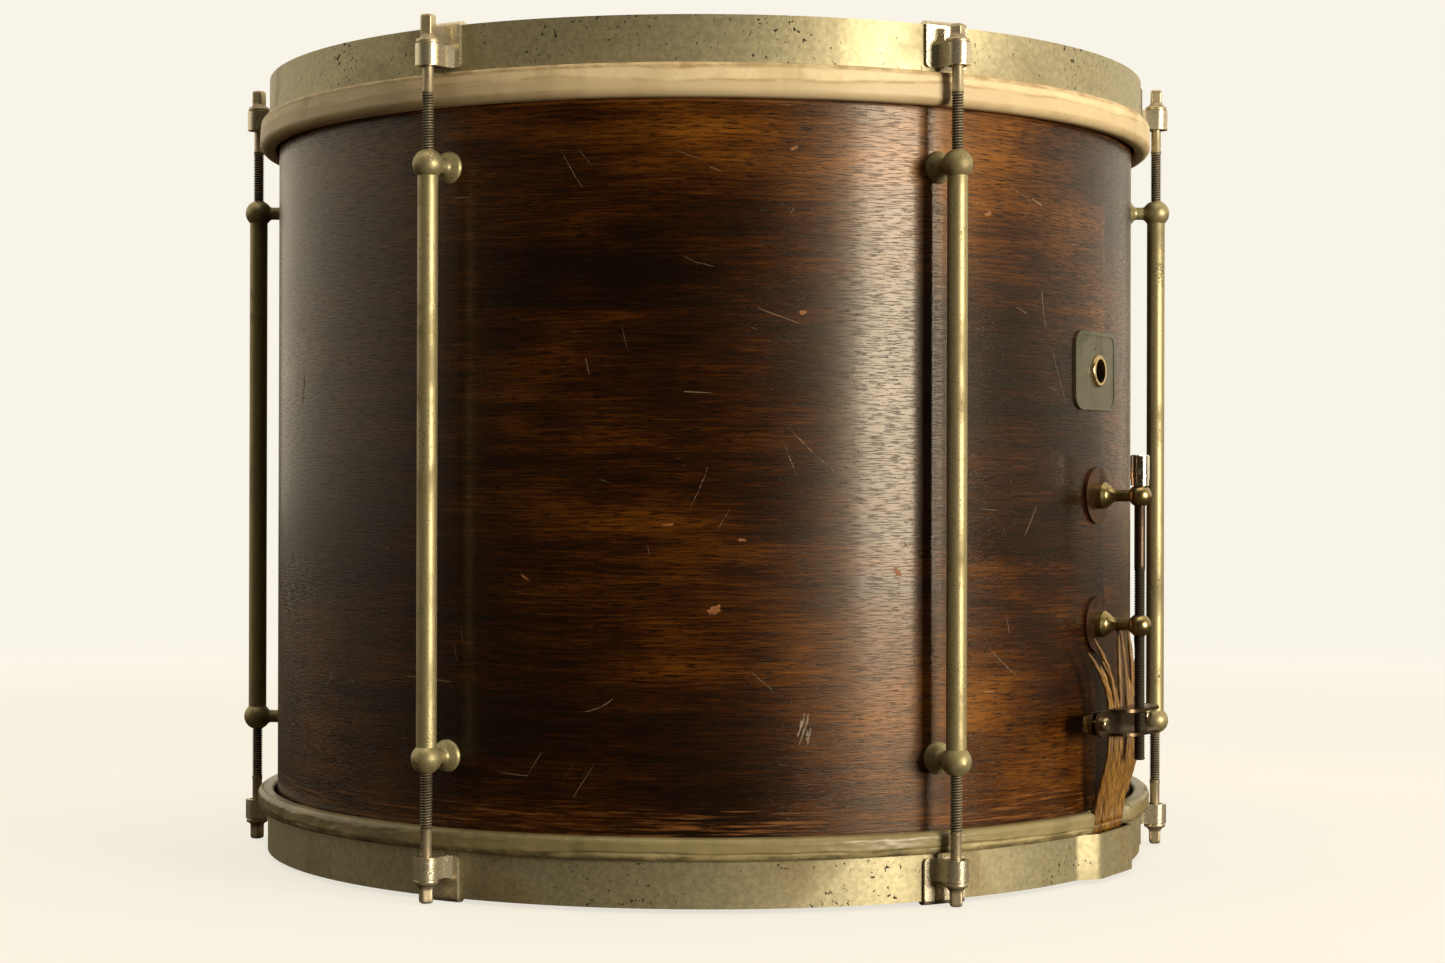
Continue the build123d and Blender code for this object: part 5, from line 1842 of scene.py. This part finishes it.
    def run_path(self, start: Vector, index: int) -> list[Vector]:
        """The same strand from the gate, under the head and up to the butt.

        Args:
            start: where its tail ends.
            index: which strand.
        Returns:
            Points, gate first.
        """
        across = start.dot(sideways(GATE_AZIMUTH))
        far_across = self.places[index] * MM
        bend = self.gate_height - self.under_height
        corner = [(self.edge_radius - bend + bend * math.cos(a), self.gate_height - bend * math.sin(a))
                  for a in np.linspace(0.2, math.pi / 2, 7)]
        path = [start]
        path += [self.at(across, radius, height) for radius, height in corner]
        flat = self.edge_radius - bend - self.clear_of_edge
        for radius in np.linspace(flat, -flat, 40):
            share = (self.edge_radius - radius) / (2 * self.edge_radius)
            path.append(self.at(across + (far_across - across) * share, radius, self.under_height))
        path += [self.at(far_across, -radius, height) for radius, height in corner[::-1]]
        path.append(self.at(far_across, -self.edge_radius, self.gate_height))
        for height in np.linspace(self.gate_height + 5 * MM, self.butt_height - 9 * MM, 6):
            share = smooth_step(height, self.gate_height, self.butt_height - 9 * MM)
            radius = self.edge_radius + (self.butt_radius - self.edge_radius) * share
            path.append(self.at(far_across, -radius, height))
        for height in np.linspace(self.butt_height - 7 * MM, self.butt_height + 13 * MM, 6):
            path.append(self.at(far_across, -self.butt_radius, height))
        return path

    def join(self, name: str, parts: list[tuple[np.ndarray, list, dict]]) -> bpy.types.Object:
        """Put several strands into one piece.

        Args:
            name: the piece's name.
            parts: each strand's points, faces and values.
        Returns:
            The piece.
        """
        points, faces = [], []
        values: dict[str, list] = {"around": [], "along": [], "strand": [], "groove": []}
        for part, quads, kept in parts:
            base = sum(len(p) for p in points)
            points.append(part)
            faces += [[base + v for v in quad] for quad in quads]
            for label, numbers in kept.items():
                values[label] += numbers
        return add_piece(name, np.vstack(points), faces, {k: np.array(v) for k, v in values.items()})

    def build(self) -> int:
        """Make the strands in place of the plain ribbon.

        Returns:
            How many strands there are.
        """
        rng = random.Random(self.seed)
        tails, runs = [], []
        for index in range(len(self.places)):
            path = self.tail_path(index, rng)
            wide = 1.0 if index < self.loose_count else self.ribbon_width
            tails.append(self.tube(path, index, True, wide))
            runs.append(self.tube(self.run_path(path[-1], index), index, False, wide))
        tail = self.join("gut_tails", tails)
        run = self.join("gut_runs", runs)
        for piece in (tail, run):
            GUT.dress(piece)
            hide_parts("gut_snares")
        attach(run, "drum")
        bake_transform(tail)
        return len(self.places)


# ---- Studio ------------------------------------------------------------------------------------------
@dataclass(frozen=True)
class Softbox:
    """One soft light: where it hangs, what it points at, its size and its power."""

    name: str
    place: tuple[float, float, float]
    aim: tuple[float, float, float]
    size: tuple[float, float]
    power: float
    colour: Colour

    def build(self) -> None:
        """Hang the light."""
        lamp = bpy.data.lights.new(self.name, "AREA")
        lamp.shape = "RECTANGLE"
        lamp.size, lamp.size_y = self.size
        lamp.energy = self.power
        lamp.color = self.colour
        made = bpy.data.objects.new(self.name, lamp)
        bpy.context.scene.collection.objects.link(made)
        made.location = self.place
        made.rotation_euler = (Vector(self.aim) - Vector(self.place)).to_track_quat("-Z", "Y").to_euler()


BACKDROP: Colour = (0.945, 0.905, 0.805)


@dataclass(frozen=True)
class FloorPaint(Finish):
    """Plain pale paint of the studio floor."""

    name: str = "floor_paint"
    colour: Colour = (0.21, 0.20, 0.175)
    far: Colour = BACKDROP
    bounce: Colour = (0.07, 0.056, 0.040)
    near_glow: float = 0.78
    fade_span: Span = (0.30, 1.7)             # metres from the drum's axis
    mottle: Pattern = Pattern(3.0, 3.0)
    mottle_share: float = 0.06
    roughness: float = 0.9

    def paint(self, graph: Graph, surface: bpy.types.Node) -> None:
        """Join a faint mottle that fades into the backdrop, and a dimmer tone for the light thrown back.

        Args:
            graph: the material's graph.
            surface: the surface shader.
        """
        mottle = graph.times(graph.noise(graph.place(), self.mottle), self.mottle_share)
        pale = graph.mix(mottle, self.colour, self.far)
        seen = graph.node("ShaderNodeLightPath").outputs["Is Camera Ray"]
        away = graph.node("ShaderNodeVectorMath", {0: graph.place()}, operation="LENGTH").outputs["Value"]
        fade = graph.remap(away, *self.fade_span)
        pale = graph.mix(fade, pale, BLACK)
        graph.feed(surface.inputs["Base Color"], graph.mix(seen, self.bounce, pale))
        glow = graph.remap(fade, 0.0, 1.0, self.near_glow, 1.0)
        lit = graph.mix(graph.times(seen, glow), BLACK, self.far)
        graph.feed(surface.inputs["Emission Color"], lit)
        surface.inputs["Emission Strength"].default_value = 1.0
        surface.inputs["Roughness"].default_value = self.roughness
        surface.inputs["Specular IOR Level"].default_value = 0.0


@dataclass
class Studio:
    """Pale floor, soft light and the camera."""

    floor_half: float = 14.0
    backdrop: Colour = BACKDROP
    front_glow: Colour = (0.026, 0.020, 0.011)
    back_glow: Colour = (1.12, 0.98, 0.74)
    lean_up: float = 0.25
    lean_right: float = -0.08
    glow_span: Span = (-0.58, 0.25)
    floor_gap: float = 0.2 * MM
    camera_place: tuple[float, float, float] = (0.00797, -1.1466, 0.1606)
    camera_pitch: float = 0.0021
    camera_roll: float = 0.0025
    sensor: float = 36.0
    lens: float = 62.99
    softboxes: tuple[Softbox, ...] = (
        Softbox("key_window", place=(1.757, -1.592, 0.24), aim=(0.074, -0.175, 0.17), size=(0.80, 0.95),
                power=92.0, colour=(1.0, 0.88, 0.69)),
        Softbox("overhead", place=(0.2, -0.6, 2.1), aim=(0.0, 0.0, 0.2), size=(1.6, 1.2), power=10.0,
                colour=(1.0, 0.88, 0.68)),
    )

    def build_world(self) -> None:
        """Make the pale surroundings, brighter behind the drum than in front of it."""
        world = bpy.data.worlds.new("studio")
        world.use_nodes = True
        world.node_tree.nodes.clear()
        graph = Graph(world.node_tree)
        aside, ahead, up = graph.separate(graph.node("ShaderNodeTexCoord").outputs["Generated"])
        lift = graph.plus(ahead, graph.times(up, self.lean_up))
        lift = graph.plus(lift, graph.times(aside, self.lean_right))
        glow = graph.mix(graph.remap(lift, *self.glow_span), self.front_glow, self.back_glow)
        seen = graph.node("ShaderNodeLightPath").outputs["Is Camera Ray"]
        colour = graph.mix(seen, glow, self.backdrop)
        shade = graph.node("ShaderNodeBackground", {"Color": colour, "Strength": 1.0})
        output = graph.node("ShaderNodeOutputWorld")
        graph.feed(output.inputs[0], shade.outputs[0])
        bpy.context.scene.world = world

    def build_floor(self) -> None:
        """Lay the floor just under the claws."""
        half = self.floor_half
        corners = np.array([(-half, -half, 0), (half, -half, 0), (half, half, 0), (-half, half, 0)], float)
        corners[:, 2] = CAD_LOW.z - self.floor_gap
        floor = add_piece("floor", corners, [[0, 1, 2, 3]])
        FloorPaint().dress(floor)

    def build_camera(self) -> None:
        """Set the camera level with the middle of the drum."""
        data = bpy.data.cameras.new("camera")
        data.sensor_width = self.sensor
        data.lens = self.lens
        camera = bpy.data.objects.new("camera", data)
        bpy.context.scene.collection.objects.link(camera)
        pitch = Matrix.Rotation(math.pi / 2 + self.camera_pitch, 4, "X")
        roll = Matrix.Rotation(self.camera_roll, 4, "Z")
        camera.matrix_world = Matrix.Translation(self.camera_place) @ pitch @ roll
        bpy.context.scene.camera = camera

    def build(self) -> int:
        """Set up floor, light and camera.

        Returns:
            How many lights were hung.
        """
        self.build_world()
        self.build_floor()
        for softbox in self.softboxes:
            softbox.build()
        self.build_camera()
        view = bpy.context.scene.view_settings
        view.view_transform = "Standard"
        view.look = "None"
        return len(self.softboxes)


# ---- The whole drum ----------------------------------------------------------------------------------
TOP_KEY_TURNS = (70.0, 8.0, 29.0, 0.0, 20.0, 50.0)
BOTTOM_KEY_TURNS = (30.0, 10.0, 60.0, 5.0, 45.0, 75.0)


def build_rods() -> int:
    """Make the twelve tension rods.

    Returns:
        How many rods were made.
    """
    count = 0
    for side, turns in ((Side.TOP, TOP_KEY_TURNS), (Side.BOTTOM, BOTTOM_KEY_TURNS)):
        for number in LUG_NUMBERS:
            turn = lug_azimuth(number) + math.radians(turns[number - 1])
            TensionRod(number, side, turn).build()
            count += 1
    return count


def main() -> None:
    """Build every sub-assembly in order and report it."""
    logging.basicConfig(level=logging.INFO, format="%(name)s: %(message)s")
    LOG.info("studio: %d lights", Studio().build())
    LOG.info("shell: %d pieces", Shell().build())
    LOG.info("shell marks: %d", ShellMarks().build())
    top = Head(Side.TOP, "batter_head", "batter_flesh_hoop", "drum", "calfskin", CLEAN_SKIN)
    bottom = Head(
        Side.BOTTOM, "snare_head", "snare_flesh_hoop", "drum", "aged_calfskin", OLD_SKIN, lap_round=2.4 * MM,
        wobble=0.3 * MM, wrinkle=0.3 * MM, crease_share=0.3, notched=True)
    LOG.info("heads: %d pieces", top.build() + bottom.build())
    hoops = (HoopAndClaws("top_hoop", "top_claw"), HoopAndClaws("bottom_hoop", "bottom_claw"))
    LOG.info("hoops and claws: %d pieces", sum(hoop.build() for hoop in hoops))
    LOG.info("rods: %d", build_rods())
    LOG.info("lugs: %d pieces", Lugs().build())
    LOG.info("badge: %d pieces", Badge().build())
    LOG.info("strainer: %d pieces", Strainer().build())
    LOG.info("gut: %d strands", GutSnares().build())


if __name__ == "__main__":
    main()
